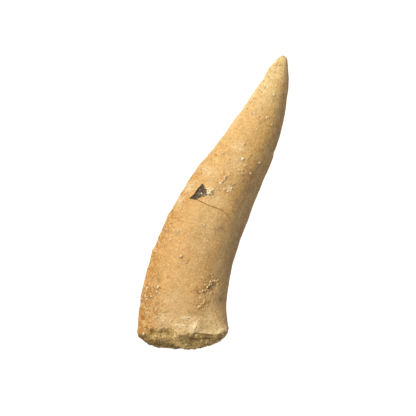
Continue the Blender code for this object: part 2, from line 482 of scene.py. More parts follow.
@dataclass(frozen=True)
class BreakForm:
    """The broken root end: a rough dome that stands out of a wavy, splintered rim."""

    bulge: float = 3.2  # how far the dome stands out past the rim
    squareness: float = 2.2  # 2 is a round dome, more is boxier
    rim: tuple[Span, ...] = (  # place across, and how far the rim steps towards the tip there
        (-1.0, -0.02), (-0.89, -0.2), (-0.82, 0.0), (-0.75, 0.38), (-0.6, 0.61), (-0.44, 0.58), (-0.23, 0.4),
        (-0.05, -0.15), (0.07, -0.28), (0.2, -0.23), (0.33, -0.27), (0.48, -0.5), (0.67, -0.42), (0.83, -0.2),
        (1.0, -0.05),
    )
    overhang: tuple[Span, ...] = (  # and how far past the rim the enamel reaches
        (-1.0, 0.0), (-0.93, 0.28), (-0.89, 0.15), (-0.83, -0.3), (-0.8, -0.36), (-0.69, -0.19),
        (-0.58, 0.15), (-0.53, 0.34), (-0.47, 0.15), (-0.43, -0.15), (-0.31, -0.18), (-0.18, -0.08),
        (-0.08, 0.05), (-0.04, 0.2), (0.03, 0.0), (0.1, -0.22), (0.15, 0.03), (0.35, 0.06), (0.5, 0.0),
        (0.58, 0.1), (0.66, -0.05), (0.77, 0.1), (0.9, 0.35), (1.0, 0.3),
    )
    under_wave: float = 0.40  # the rim's wave on the underside
    rim_fade: float = 4.0  # the wave dies out over this length of the side
    lip: float = 1.50  # how far the rim flares up near the back edge
    lip_reach: float = 3.8  # length of the side that rises to it
    lip_across: Ramp = Ramp(0.25, 1.00)  # it grows between these places across
    lip_round: Ramp = Ramp(-0.5, 0.3)  # and between these sines of the angle, from under to over
    ledge_depth: float = 0.45  # step from the rim in to the dome
    ledge_share: float = 0.25  # share of the dome's height that the step takes
    roughness: float = 0.24
    grain: float = 1.8  # size of its lumps
    grit: float = 0.08  # the finer roughness on them
    grit_grain: float = 0.5
    edge: float = 0.8  # the lumps run this far over the rim

    def wave(self, angles: Array) -> Array:
        """How far the rim steps towards the tip, at each angle round the section.

        Args:
            angles: the angles, from 0 at the back edge over the upper side to pi at the front edge.

        Returns:
            The step at each angle, negative away from the tip.
        """
        u = np.cos(angles)
        start, end = self.rim[0][1], self.rim[-1][1]
        lower = start + (end - start) * (u + 1) / 2 + self.under_wave * np.sin(np.pi * u)
        return np.where(np.sin(angles) >= 0, table(self.rim, u), lower)

    def border(self, angles: Array) -> Array:
        """How far the enamel ends from the level rim towards the tip, at each angle round the section."""
        return self.wave(angles) - np.where(np.sin(angles) >= 0, table(self.overhang, np.cos(angles)), 0.0)


@dataclass
class Fang:
    """The tooth's whole skin, one closed shell, raised ring by ring."""

    form: FangForm = FangForm()
    broken: BreakForm = BreakForm()
    over: int = 46  # vertices of a ring on the upper side
    under: int = 14  # and on the underside
    side_rings: int = 72
    tip_crowding: float = 1.25  # how much closer the rings stand towards the tip
    break_rings: int = 18
    smoothing: int = 2
    skin: float = 0.10  # the gentle unevenness of the worn surface
    skin_grain: float = 4.5
    fine_skin: float = 0.02
    fine_skin_grain: float = 0.9
    edge_roughness: float = 2.5  # how much rougher the front edge is
    rough_edge: Ramp = Ramp(-0.50, -0.90)  # between these places across
    spot_height: float = 2.0  # the spots are on what lies above this
    thin_end: float = 49.0  # or past this, along the fang
    rest_flat: float = 0.10  # the belly is flat up to this height, where the tooth rests
    spots: tuple[Spot, ...] = rows(
        Spot,
        (-2.2, 26.82, 0.5, 0.34),  # gritty lump beside the chip
        (-3.2, 15.55, 0.26, 0.12),  # lone grain in the middle of the side
        # pitted streak above the root
        (1.5, 10.95, 0.5, -0.22), (2.4, 11.7, 0.55, -0.24), (3.2, 12.3, 0.55, -0.26), (3.4, 13.3, 0.5, -0.24),
        (2.6, 13.8, 0.45, -0.2),
        # pitted patch on the front edge
        (-5.3, 10.3, 0.5, -0.18), (-5.1, 8.5, 0.5, -0.16), (-5.8, 7.4, 0.6, -0.24), (-6.3, 8.6, 0.9, 0.12),
        (1.35, 50.4, 0.45, -0.12),  # pits just behind the tip
        # knob and dents along the front edge
        (-4.95, 30.6, 0.9, 0.16), (-7.6, 21.2, 0.7, 0.14), (-8.1, 14.6, 0.8, 0.12), (-0.6, 45.6, 0.9, -0.12),
        (0.0, 47.6, 0.6, -0.18),
        (5.4, 36.6, 0.4, -0.18),  # nick in the back edge
        # hollows under the rim of the break
        (-3.65, 2.35, 0.8, -0.5), (-1.55, 3.05, 0.75, -0.45), (2.9, 3.5, 0.6, -0.35), (3.75, 3.6, 0.7, -0.5),
        (4.7, 3.8, 0.7, -0.45),
        (-1.4, 0.85, 0.8, -0.17), (-0.1, 1.15, 0.8, -0.17), (7.2, 5.1, 0.6, -0.2),  # flats low on the break
        (-2.66, 2.85, 0.4, 0.18),  # the bridge between the two on the left
        (0.9, 3.35, 0.95, 0.32),  # lump of enamel in the middle
    )
    pits: tuple[Spot, ...] = rows(
        Spot,
        # behind the tip
        (1.5, 50.9, 0.17, -0.09), (1.0, 50.2, 0.15, -0.09), (1.4, 50.3, 0.14, -0.09),
        (1.9, 50.5, 0.15, -0.09), (2.2, 50.6, 0.14, -0.07), (1.5, 49.2, 0.14, -0.07),
        (0.7, 49.2, 0.17, -0.09), (0.8, 48.1, 0.14, -0.07), (0.2, 47.2, 0.18, -0.09),
        (0.8, 46.1, 0.14, -0.07), (0.1, 45.5, 0.14, -0.05),
        # down the front of the tip
        (-0.4, 43.8, 0.17, -0.07), (-0.8, 43.1, 0.18, -0.09), (-0.1, 43.3, 0.14, -0.07),
        (-0.9, 42.0, 0.15, -0.05), (0.2, 41.4, 0.17, -0.11), (2.2, 44.0, 0.14, -0.05),
        (2.9, 44.3, 0.14, -0.05), (3.4, 43.3, 0.15, -0.05), (1.5, 42.6, 0.15, -0.07),
        (1.5, 41.2, 0.15, -0.07), (1.5, 40.7, 0.14, -0.07), (1.9, 40.2, 0.15, -0.07),
        (2.6, 40.9, 0.14, -0.07),
        # about the middle of the upper half
        (1.8, 36.2, 0.17, -0.09), (-3.4, 32.9, 0.2, -0.11), (-0.9, 32.9, 0.17, -0.07),
        (2.2, 34.1, 0.18, -0.11), (2.9, 31.5, 0.17, -0.09), (3.5, 31.2, 0.2, -0.11), (-0.9, 30.4, 0.2, -0.11),
        (-0.1, 28.7, 0.17, -0.09), (1.0, 29.2, 0.15, -0.07), (-2.0, 27.8, 0.15, -0.09),
        # about the middle of the lower half
        (-6.9, 18.4, 0.18, -0.09), (-7.0, 17.4, 0.17, -0.09), (-1.7, 15.4, 0.14, -0.07),
        (-3.0, 15.25, 0.17, -0.09), (-5.8, 11.5, 0.14, -0.05), (-4.2, 11.6, 0.14, -0.05),
        # rim of the pitted patch on the front edge
        (-5.3, 10.4, 0.22, -0.09), (-5.4, 8.9, 0.15, -0.07), (-5.1, 8.3, 0.2, -0.11), (-5.5, 7.7, 0.2, -0.11),
        (-6.0, 7.3, 0.22, -0.13), (-4.5, 6.9, 0.2, -0.11), (-4.1, 7.2, 0.18, -0.11), (-3.4, 7.0, 0.17, -0.11),
        (-2.2, 6.6, 0.15, -0.11), (-3.5, 6.2, 0.14, -0.07), (-5.5, 6.6, 0.15, -0.07),
        (-6.6, 4.9, 0.17, -0.07), (-4.8, 4.4, 0.15, -0.07),
        # between the grains of the dark cluster
        (2.7, 14.0, 0.18, -0.11), (2.5, 13.5, 0.2, -0.13), (3.6, 13.4, 0.17, -0.11), (3.0, 12.4, 0.21, -0.13),
        (3.4, 12.4, 0.18, -0.11), (2.7, 12.0, 0.18, -0.11), (2.1, 11.4, 0.18, -0.11), (1.6, 11.0, 0.2, -0.13),
        (3.5, 10.2, 0.15, -0.09), (5.1, 11.0, 0.2, -0.11), (3.2, 8.6, 0.15, -0.07), (-1.2, 5.2, 0.17, -0.07),
        (0.4, 4.6, 0.15, -0.07), (4.3, 6.3, 0.17, -0.07), (5.0, 7.1, 0.15, -0.07),
    )
    ridges: tuple[Patch, ...] = rows(
        Patch,
        # pale scratches with raised lips
        (0.71, 6.6, 0.75, 0.13, 0.06, 18.6), (0.37, 5.1, 0.9, 0.15, 0.06, 14.7),
        (1.6, 6.3, 0.9, 0.12, 0.12, 55.0),  # edge of the bare facet
        (4.6, 4.98, 1.6, 0.17, -0.3, 15.0), (4.4, 4.45, 1.5, 0.2, 0.14, 15.0),  # groove under the rim
    )

    def build(self) -> Piece:
        """Models the skin, from the ring at the rim to the finished relief.

        Returns:
            The mesh object, in the drawing's millimetres.
        """
        shell = self._add_root_ring()
        self._grow_side(shell)
        self._grow_break(shell)
        self._wave_the_rim(shell)
        smooth = shell.modifiers.new("smooth", "SUBSURF")
        smooth.levels = smooth.render_levels = self.smoothing
        apply_modifier(shell, smooth)
        self._work_the_surface(shell)
        bpy.ops.object.shade_smooth()
        return shell

    def _angles(self) -> Array:
        """Angles of a ring's vertices, closer together on the upper side."""
        over = np.pi * np.arange(self.over) / self.over
        under = np.pi + np.pi * np.arange(self.under) / self.under
        return np.concatenate([over, under])

    def _add_root_ring(self) -> Piece:
        """Adds a circle at the rim and draws it out to the fang's section there.

        Returns:
            The new mesh object, a ring of edges.
        """
        y = self.form.root_y
        centre, angles = self.form.centre(y), self._angles()
        half_width, depth = float(self.form.width(y)) / 2, float(self.form.depth(y))
        deselect_all()
        bpy.ops.mesh.primitive_circle_add(vertices=len(angles), radius=half_width, location=centre)
        ring = bpy.context.object
        ring.name = ring.data.name = "fossil_tooth"
        bpy.ops.object.transform_apply()
        across = np.array([math.cos(self.form.heading(y)), math.sin(self.form.heading(y)), 0.0])
        places = np.array(centre) + np.outer(np.cos(angles) * half_width, across)
        places[:, 2] += self.form.rise(angles, np.full(len(angles), y)) * depth
        move_vertices(ring, places)
        return ring

    def _grow_side(self, shell: Piece) -> None:
        """Extrudes the ring along the centreline, sizing and turning it at each step, and closes the tip.

        The section's shoulder changes along the fang, so each ring's heights are shaped after it stands.
        """
        form = self.form
        shares = np.arange(self.side_rings) / self.side_rings
        stops = form.root_y + (form.tip_y - form.root_y) * (1 - (1 - shares) ** self.tip_crowding)
        with editing(shell):
            for here, there in pairwise(stops):
                step, centre = form.centre(there) - form.centre(here), form.centre(there)
                wider, deeper = form.width(there) / form.width(here), form.depth(there) / form.depth(here)
                bpy.ops.mesh.extrude_region_move(TRANSFORM_OT_translate={"value": step})
                turn_selection(-form.heading(here), centre)
                bpy.ops.transform.resize(value=(wider, 1.0, deeper), center_override=centre)
                turn_selection(form.heading(there), centre)
            bpy.ops.mesh.edge_face_add()
            bpy.ops.mesh.poke()
        places, rim = coordinates(shell), len(self._angles())
        y = np.repeat(stops, rim)
        shaped = form.rise(np.tile(self._angles(), len(stops)), y) * form.depth(y)
        places[:-1, 2] = form.level(y) + shaped
        places[-1] = form.centre(form.tip_y)
        move_vertices(shell, places)

    def _grow_break(self, shell: Piece) -> None:
        """Extrudes the ring at the rim back and inwards, over the dome of the break, and closes it."""
        form, rim = self.form, len(self._angles())
        centre, along = form.centre(form.root_y), Vector(form.along(form.root_y))
        turns = 1 - (np.arange(self.break_rings) / self.break_rings)
        shares = np.sin(turns * np.pi / 2) ** (2 / self.broken.squareness)
        heights = np.cos(turns * np.pi / 2) ** (2 / self.broken.squareness)
        with editing(shell):
            bpy.ops.mesh.select_all(action="DESELECT")
        for vertex in shell.data.vertices[:rim]:
            vertex.select = True
        bpy.ops.object.mode_set(mode="EDIT")
        for here in range(1, self.break_rings):
            back = along * (-self.broken.bulge * float(heights[here] - heights[here - 1]))
            smaller = float(shares[here] / shares[here - 1])
            bpy.ops.mesh.extrude_region_move(TRANSFORM_OT_translate={"value": back})
            middle = centre - along * (self.broken.bulge * float(heights[here]))
            bpy.ops.transform.resize(value=(smaller,) * 3, center_override=middle)
        bpy.ops.mesh.edge_face_add()
        bpy.ops.mesh.poke()
        bpy.ops.object.mode_set(mode="OBJECT")
        face_outwards(shell)
        shell.data.vertices[-1].co = centre - along * self.broken.bulge

    def _wave_the_rim(self, shell: Piece) -> None:
        """Gives the rim its wave, which dies out along the side and over the dome, its ledge and its lip."""
        form, broken = self.form, self.broken
        places, way = coordinates(shell), form.along(form.root_y)
        rim = np.array(form.centre(form.root_y))
        past = (places - rim) @ way
        angle = form.root_angle(form.locate(places)[2])
        out = np.linalg.norm(np.cross(places - rim, way), axis=1)
        height = np.clip(-past / broken.bulge, 0.0, 1.0)
        on_side = 1 - smoothstep(0.0, broken.rim_fade, past)
        on_dome = np.clip(1 - height**broken.squareness, 0.0, 1.0) ** (1 / broken.squareness)
        wave = broken.wave(angle) * np.where(past >= 0, on_side, on_dome)
        ledge = broken.ledge_depth * smoothstep(0.0, broken.ledge_share, height) * np.abs(np.sin(angle))
        inwards = rim - places - np.outer((rim - places) @ way, way)
        inwards /= np.maximum(out, TINY)[:, None]
        places += np.outer(wave, way) + inwards * np.minimum(ledge, out)[:, None]
        flared = broken.lip_across.at(np.cos(angle)) * broken.lip_round.at(np.sin(angle))
        near = (1 - smoothstep(0.0, broken.lip_reach, past)) * smoothstep(1.0, 0.0, height)
        places[:, 2] += broken.lip * flared * near
        move_vertices(shell, places)

    def crusted(self, places: Array, start: float, end: float) -> Array:
        """Tells the broken end from the side.

        Args:
            places: points on the skin.
            start: where the break starts to fade, along the fang from the rim.
            end: where it has faded.

        Returns:
            1 on the break and 0 on the side, for each point.
        """
        root = self.form.root_y
        way = self.form.along(root)
        angle = self.form.root_angle(self.form.locate(places)[2])
        past = (places - np.array(self.form.centre(root))) @ way - self.broken.border(angle)
        return 1 - smoothstep(start, end, past)

    def _work_the_surface(self, shell: Piece) -> None:
        """Gives the skin its unevenness, its lumps, pits and ridges, and the flat that it rests on."""
        places, ways = coordinates(shell), normals(shell)
        rough = self.crusted(places, 0.0, self.broken.edge)
        height = self.skin * roughness(places, self.skin_grain)
        _, across, _ = self.form.locate(places)
        rougher = 1 + self.edge_roughness * self.rough_edge.at(across)
        height += self.fine_skin * rougher * roughness(places, self.fine_skin_grain)
        there = rough > 0
        height[there] += rough[there] * self.broken.roughness * roughness(places[there], self.broken.grain)
        height[there] += rough[there] * self.broken.grit * roughness(places[there], self.broken.grit_grain)
        seen = (places[:, 2] > self.spot_height) | (places[:, 1] > self.thin_end)
        height[seen] += bump_field(places[seen], self.spots + self.pits)
        height[seen] += patch_field(places[seen], self.ridges)
        places += ways * height[:, None]
        places[:, 2] = np.maximum(places[:, 2], self.rest_flat)
        move_vertices(shell, places)


def surface_of(piece: Piece) -> BVHTree:
    """A search tree of a piece's faces, in the drawing's millimetres."""
    return BVHTree.FromObject(piece, bpy.context.evaluated_depsgraph_get())


def drop(surface: BVHTree, x: float, y: float) -> tuple[Vector, Vector] | None:
    """The place on a surface under a point of the plan, and its normal, or None where there is none."""
    place, normal, _, _ = surface.ray_cast(Vector((x, y, SKY)), Vector((0.0, 0.0, -1.0)))
    return None if place is None else (place, normal)


def cut(piece: Piece, cutter: Piece) -> None:
    """Cuts a cutter's shape out of a piece, which takes over the cutter's material there.

    Args:
        piece: what is cut.
        cutter: a closed shape. It is gone afterwards.
    """
    boolean = piece.modifiers.new("cut", "BOOLEAN")
    boolean.operation = "DIFFERENCE"
    boolean.object = cutter
    boolean.solver = "EXACT"
    boolean.material_mode = "TRANSFER"
    apply_modifier(piece, boolean)
    bpy.data.objects.remove(cutter, do_unlink=True)


@dataclass
class Chip:
    """The chip in the front of the side, which bares the dark inside."""

    corners: tuple[Span, ...] = (
        (-5.13, 24.77), (-3.75, 24.99), (-3.6, 25.37), (-2.55, 26.13), (-2.48, 26.88), (-3.13, 27.25),
        (-3.79, 27.82), (-4.26, 26.86), (-4.6, 25.56),
    )
    rim_depth: float = 0.16
    middle_depth: float = 0.34
    least_depth: float = 0.08
    floor_roughness: float = 0.10
    floor_grain: float = 0.45
    floor_cuts: int = 7
    height: float = 3.0

    def cutter(self, surface: BVHTree, finish: Finish) -> Piece:
        """Models the lump that is missing, with a rough underside that follows the surface.

        Args:
            surface: the tooth's faces.
            finish: the material of the bared inside.

        Returns:
            The cutter, in the drawing's millimetres.
        """
        middle = np.array(self.corners).mean(axis=0)
        deselect_all()
        bpy.ops.mesh.primitive_circle_add(vertices=len(self.corners), radius=1.0, fill_type="NGON")
        lump = bpy.context.object
        move_vertices(lump, np.array([(x, y, 0.0) for x, y in self.corners]))
        with editing(lump):
            bpy.ops.mesh.poke()
            bpy.ops.mesh.subdivide(number_cuts=self.floor_cuts)
        places = coordinates(lump)
        reach = np.linalg.norm(np.array(self.corners) - middle, axis=1).mean()
        inner = 1 - np.clip(np.linalg.norm(places[:, :2] - middle, axis=1) / reach, 0.0, 1.0)
        depth = self.rim_depth + (self.middle_depth - self.rim_depth) * np.sqrt(inner)
        depth += self.floor_roughness * roughness(places, self.floor_grain)
        level = [drop(surface, x, y)[0].z for x, y in places[:, :2]]
        places[:, 2] = level - np.maximum(depth, self.least_depth)
        move_vertices(lump, places)
        with editing(lump):
            bpy.ops.mesh.extrude_region_move(TRANSFORM_OT_translate={"value": (0.0, 0.0, self.height)})
        face_outwards(lump)
        lump.data.materials.append(finish)
        return lump


@dataclass
class Crack:
    """The hairline crack that runs from the chip across the side."""

    course: tuple[Span, ...] = (
        (-3.8, 25.1), (-3.55, 24.98), (-2.72, 24.9), (-1.82, 24.78), (-0.96, 24.75), (0.03, 24.76),
        (0.77, 24.68), (1.27, 24.49), (1.6, 24.32), (2.07, 24.05), (2.6, 23.6),
    )
    steps: int = 72
    wander: float = 0.035  # how far it strays
    wander_grain: float = 0.35  # over this length
    width: float = 0.09
    end_width: float = 0.04
    narrowing: float = 1.5  # how late it narrows: 1 is evenly along it
    depth: float = 0.30
    end_rise: float = 0.7  # share of the depth that it has lost at its end
    height: float = 1.5

    def _points(self) -> Array:
        """Places along the crack, with a little wander of their own."""
        course = np.array(self.course)
        places = np.linspace(0, len(course) - 1, self.steps + 1)
        stops = np.arange(len(course), dtype=float)
        line = np.stack([smooth_curve(course[:, k], stops, places) for k in range(2)], axis=1)
        stray = roughness(np.column_stack([line, np.zeros(len(line))]), self.wander_grain)
        line[:, 1] += self.wander * stray
        return line

    def cutter(self, surface: BVHTree, finish: Finish) -> Piece:
        """Models the gap as a thin upright band along the crack.

        Args:
            surface: the tooth's faces.
            finish: the material of the gap's walls.

        Returns:
            The cutter, in the drawing's millimetres.
        """
        deselect_all()
        bpy.ops.mesh.primitive_grid_add(x_subdivisions=self.steps, y_subdivisions=1, size=1.0)
        band = bpy.context.object
        flat = coordinates(band)
        order = np.rint((flat[:, 0] + 0.5) * self.steps).astype(int)
        line = self._points()
        floor = np.array([drop(surface, x, y)[0].z for x, y in line])
        top = flat[:, 1] > 0
        share = order / self.steps
        depth = self.depth * (1 - self.end_rise * share**2)
        places = np.column_stack([line[order], floor[order] + np.where(top, self.height, -depth)])
        move_vertices(band, places)
        taper = band.vertex_groups.new(name="taper")
        for index, along in enumerate(share):
            narrower = (1 - self.end_width / self.width) * along**self.narrowing
            taper.add([index], float(1 - narrower), "REPLACE")
        wall = band.modifiers.new("wall", "SOLIDIFY")
        wall.thickness = self.width
        wall.offset = 0.0
        wall.vertex_group = taper.name
        apply_modifier(band, wall)
        face_outwards(band)
        band.data.materials.clear()
        band.data.materials.append(finish)
        return band


@dataclass(frozen=True)
class Markings:
    """Where the tooth is stained, worn, tinted and pitted, and where light and shade are painted on. Places
    are seen from above.
    """

    ochre: tuple[Patch, ...] = rows(
        Patch,
        (-5.6, 4.2, 2.2, 2.6, 0.95, 20.0), (-6.2, 8.4, 1.5, 2.2, 0.85, 15.0),
        (-7.4, 12.0, 1.2, 3.4, 0.75, 8.0), (-1.5, 8.0, 1.6, 1.0, 0.35, 20.0),
        (-8.0, 17.0, 0.8, 3.5, 0.45, 2.0), (-5.5, 20.8, 1.1, 0.8, 0.45), (-7.0, 22.5, 0.8, 2.5, 0.5, -8.0),
        (-6.0, 26.0, 0.6, 2.2, 0.6, -18.0), (-5.2, 28.3, 0.5, 0.8, 0.6, -30.0), (-3.9, 29.5, 0.8, 0.5, 0.4),
        (-3.3, 19.3, 1.6, 0.9, 0.28, 10.0), (-0.4, 34.1, 0.9, 0.5, 0.35, 10.0),
        (-3.0, 35.6, 0.5, 1.0, 0.45, -25.0), (2.8, 48.8, 0.5, 1.2, 0.45),
    )
    chalk: tuple[Patch, ...] = rows(
        Patch,
        (-5.7, 26.6, 0.7, 0.9, 0.7, -20.0), (-3.8, 30.1, 1.2, 0.8, 0.5, -20.0),
        (-6.5, 23.9, 0.7, 0.9, 0.6, -20.0), (-0.6, 26.1, 1.8, 1.1, 0.25), (-0.3, 35.4, 1.2, 0.8, 0.35),
        (0.4, 32.9, 1.2, 1.3, 0.3), (0.8, 44.6, 0.6, 2.6, 0.2), (-1.6, 41.5, 0.6, 7.0, 0.45, -17.0),
        (-2.4, 5.0, 1.5, 1.1, 0.45, 20.0), (0.71, 6.6, 0.75, 0.19, 1.0, 18.6),
        (0.37, 5.1, 0.9, 0.2, 0.9, 14.7), (2.22, 5.75, 0.62, 1.3, 1.0, -3.0), (0.54, 28.47, 0.55, 0.45, 0.6),
        # the first patch here is a painted highlight along the lip of the rim
        (6.75, 6.6, 1.4, 0.42, 0.9, 43.0), (4.6, 5.45, 1.5, 0.18, 0.7, 16.0), (-2.66, 2.95, 0.4, 0.4, 0.8),
        (0.4, 3.55, 1.1, 0.3, 0.8, 3.0), (1.9, 3.3, 1.2, 0.16, 0.75, 15.0), (3.0, 4.38, 0.9, 0.18, 0.7, 25.0),
        (6.2, 5.3, 0.8, 0.5, 0.6, 40.0), (0.0, 19.0, 2.2, 6.0, 0.16), (-2.22, 26.84, 0.5, 0.5, 0.9),
        (3.75, 26.4, 0.14, 2.4, 0.55, -6.0), (4.6, 29.5, 0.14, 2.0, 0.35, -10.0),
        (4.3, 20.5, 0.14, 1.8, 0.3, 2.0), (-1.9, 8.5, 2.2, 1.5, 0.25, 15.0),
    )
    green: tuple[Patch, ...] = rows(
        Patch,
        (4.4, 6.8, 3.0, 3.2, 0.75, 20.0), (1.9, 9.6, 1.4, 1.2, 0.45), (-0.5, 4.4, 2.2, 0.8, 0.35, 20.0),
        (0.5, 18.0, 2.5, 5.0, 0.25, 10.0),
    )
    brown: tuple[Patch, ...] = rows(
        Patch,
        (1.2, 22.0, 0.75, 0.95, 0.7, -20.0), (0.8, 21.2, 0.5, 0.55, 0.5), (1.6, 22.8, 0.45, 0.6, 0.3),
        (0.9, 23.6, 0.6, 0.7, 0.35), (2.2, 31.0, 0.9, 2.6, 0.35, -12.0), (3.0, 26.8, 0.9, 2.8, 0.3, -10.0),
        (2.2, 26.5, 0.5, 0.9, 0.3), (3.6, 30.0, 0.8, 1.1, 0.55), (3.4, 32.2, 0.8, 0.9, 0.35),
        (-4.8, 23.2, 0.5, 0.4, 0.35, 30.0), (-6.7, 18.5, 0.6, 0.3, 0.45, 20.0),
        (4.5, 22.0, 0.5, 2.5, 0.35, -5.0), (4.9, 18.0, 0.5, 2.5, 0.35), (2.9, 12.9, 0.6, 1.1, 0.9, -30.0),
        (1.9, 11.3, 0.8, 0.35, 0.85, 25.0), (5.1, 11.0, 0.35, 0.35, 0.5), (-5.9, 7.4, 0.5, 0.4, 0.4, 20.0),
    )
    pitted: tuple[Patch, ...] = rows(
        Patch,
        (1.4, 50.2, 0.9, 1.1, 0.8), (0.0, 47.0, 0.9, 2.8, 0.9), (-1.0, 42.5, 0.7, 2.5, 0.6, -20.0),
        (-5.0, 5.5, 3.0, 3.5, 0.7, 20.0), (-6.5, 24.0, 1.0, 6.0, 0.5, -10.0), (2.5, 10.5, 2.0, 2.0, 0.5),
        (4.0, 6.5, 3.0, 2.0, 0.4, 20.0),
    )
    # Painted shade in the hollows under the rim and low on the break, and a painted shadow beside the gritty
    # lump at the chip.
    shade: tuple[Patch, ...] = rows(
        Patch,
        (-3.6, 2.5, 0.95, 0.4, 0.8, 18.0), (-1.75, 3.2, 0.8, 0.35, 0.5, 10.0), (-1.14, 3.0, 0.45, 0.18, 0.8),
        (4.5, 5.05, 1.6, 0.18, 0.55, 15.0), (5.0, 4.7, 1.0, 0.4, 0.8, 12.0),
        (3.3, 3.65, 1.3, 0.42, 0.95, 10.0), (4.3, 3.3, 0.8, 0.5, 0.5, 10.0),
        (6.7, 5.2, 0.35, 0.22, 0.8, 40.0), (-2.5, 0.75, 1.1, 0.25, 0.8, -8.0),
        (-4.2, 0.9, 0.6, 0.3, 0.5, 30.0), (-3.23, 1.07, 0.18, 0.18, 0.9), (0.7, 1.27, 0.8, 0.22, 0.75, 5.0),
        # the painted shadow of the gritty lump beside the chip
        (-1.72, 26.92, 0.12, 0.42, 0.6),
    )
    # Painted light near the root, along the rim's lip, on the break and behind the tip, and painted
    # highlights along the pale scratches and the bare facet.
    bright: tuple[Patch, ...] = rows(
        Patch,
        (5.2, 9.6, 1.6, 1.5, 0.6), (6.8, 6.6, 1.4, 0.9, 1.0, 40.0), (1.1, 2.0, 2.6, 0.7, 0.6, 5.0),
        (4.6, 3.4, 1.6, 0.5, 0.35, 12.0), (2.3, 50.2, 1.0, 1.6, 0.5), (-4.8, 3.0, 1.8, 1.0, 0.55, 20.0),
        (0.71, 6.6, 0.75, 0.19, 0.6, 18.6), (0.37, 5.1, 0.9, 0.2, 0.4, 14.7),
        (2.22, 5.75, 0.62, 1.3, 0.6, -3.0),
    )
    # What reaches all round: each zone's ramps across, from -1 at the front edge to 1 at the back, and
    # then along the fang.
    stained_front: Zone = Zone((Ramp(-0.60, -0.98),), (Ramp(38.0, 26.0, 0.0, 0.50),))
    stained_belly: Zone = Zone((), (Ramp(9.0, 3.0, 0.0, 0.25),))
    pale_root: Zone = Zone((Ramp(-0.75, -0.20), Ramp(0.15, 0.50, 1.0, 0.4)), (Ramp(8.5, 5.0, 0.0, 0.22),))
    green_root: Zone = Zone((Ramp(-0.7, 0.3),), (Ramp(9.0, 3.0, 0.0, 0.40),))
    pitted_root: Zone = Zone((), (Ramp(9.0, 3.0, 0.15, 0.50),))
    pitted_front: Zone = Zone((Ramp(-0.45, -0.80, 0.0, 0.35),))
    # painted light over the middle near the root, and along the flank
    painted_light_root: Zone = Zone((Ramp(-0.75, -0.20), Ramp(0.15, 0.50, 1.0, 0.4)), (Ramp(7.5, 5.5, 0.0, 0.55),))
    painted_light_flank: Zone = Zone(
        (Ramp(-0.4, 0.3), Ramp(0.8, 0.3)), (Ramp(18.0, 23.0, 0.0, 0.65), Ramp(38.0, 46.0, 1.0, 0.5))
    )
    paler: Zone = Zone((), (Ramp(16.0, 38.0, 0.0, 0.6),))  # towards the tip
    palest: Zone = Zone((), (Ramp(38.0, 51.0, 0.0, 0.4),))
    back: Zone = Zone((Ramp(0.3, 0.95),))
    upper: Ramp = Ramp(1.5, 3.0)  # the patches come in at this height
    thin_lift: float = 2.0  # and this much lower where the fang is thin
    ring_reach: float = 1.5  # the dirt and painted shadow round a grain: its reach in radii, and how strong
    ring_amount: float = 0.60
    ring_shadow_shift: Span = (0.06, -0.13)  # it lies more on the side away from the key light, as the grain's painted shadow
    pit_shade: float = 0.55  # how dark the pits are
    border: float = 0.5  # the crust fades over this far either side of the rim
    low_shade: Ramp = Ramp(7.6, 6.2, 0.0, 0.6)  # painted shade: the break is darker from this height down, where it turns away from the key light
    drum: float = 5.0  # radius of the drum that the fang's length is unrolled on

    def paint(self, tooth: Piece, fang: Fang, grains: "tuple[Grain, ...]") -> None:
        """Stores every marking at the tooth's vertices.

        Args:
            tooth: the mesh, in the drawing's millimetres.
            fang: the form that it was built from.
            grains: the grains that have dirt and a painted shadow round them, as the pits have dirt.
        """
        rings, (dx, dy) = [(g.x, g.y, self.ring_reach * g.radius) for g in grains], self.ring_shadow_shift
        grain_dirt_and_shadows = tuple(Patch(x + dx, y + dy, reach, reach, self.ring_amount) for x, y, reach in rings)
        round_pits = tuple(Patch(pit.x, pit.y, pit.radius, pit.radius, self.pit_shade) for pit in fang.pits)
        places = coordinates(tooth)
        along, across, angle = fang.form.locate(places)
        upper = self.upper.at(places[:, 2] + np.where(along > fang.thin_end, self.thin_lift, 0.0))
        broken = fang.crusted(places, -self.border, self.border)
        lay = np.column_stack([self.drum * np.cos(angle), self.drum * np.sin(angle), along])

        def whole(*zones: Zone) -> Array:
            """Adds up zones that reach all round."""
            return sum(zone.at(across, along) for zone in zones)

        for mask, patches, everywhere in (
            (Mask.OCHRE, self.ochre, whole(self.stained_front) + whole(self.stained_belly) * (1 - upper)),
            (Mask.CHALK, self.chalk, whole(self.pale_root)),
            (Mask.BRIGHT, self.bright, whole(self.painted_light_flank, self.painted_light_root)),
            (Mask.GREEN, self.green, whole(self.green_root)),
            # the grey-brown stains, and dirt with a painted shadow beside each grain
            (Mask.BROWN, self.brown + grain_dirt_and_shadows, 0.0),
            (Mask.PITTED, self.pitted, whole(self.pitted_root, self.pitted_front)),
            # painted shade in the hollows and low on the break, and dirt in the pits
            (Mask.SHADE, self.shade + round_pits, broken * self.low_shade.at(places[:, 2])),
        ):
            paint(tooth, mask, 1 - (1 - upper * patch_field(places, patches)) * (1 - everywhere))
        paint(tooth, Mask.CRUST, broken)
        paint(tooth, Mask.PALE, whole(self.paler, self.palest))
        paint(tooth, Mask.BACK, whole(self.back))
        paint(tooth, Mask.LAY, lay)


@dataclass(frozen=True)
class Grain:
    """A sand grain that is placed one by one."""

    x: float
    y: float
    radius: float
    tone: float


@dataclass(frozen=True)
class Cluster:
    """A scatter of sand grains: its middle and reach, how many, their size, and the range of their tones."""

    x: float
    y: float
    reach: float
    count: int
    radius: float
    tones: Span


@dataclass(frozen=True)
class Strewn:
    """Grains strewn by chance: how many, and the ranges of their radii and tones."""

    count: int
    radii: Span
    tones: Span


@dataclass(frozen=True)
class Scratch:
    """A pale scratch: its ends, and how many splinters of enamel stand along it."""

    start: Span
    end: Span
    count: int


@dataclass(frozen=True)
class Seat:
    """Where a grain sits: its place on the surface, the normal there, its radius, its tone and its sink."""

    place: Vector
    normal: Vector
    radius: float
    tone: float
    sink: float


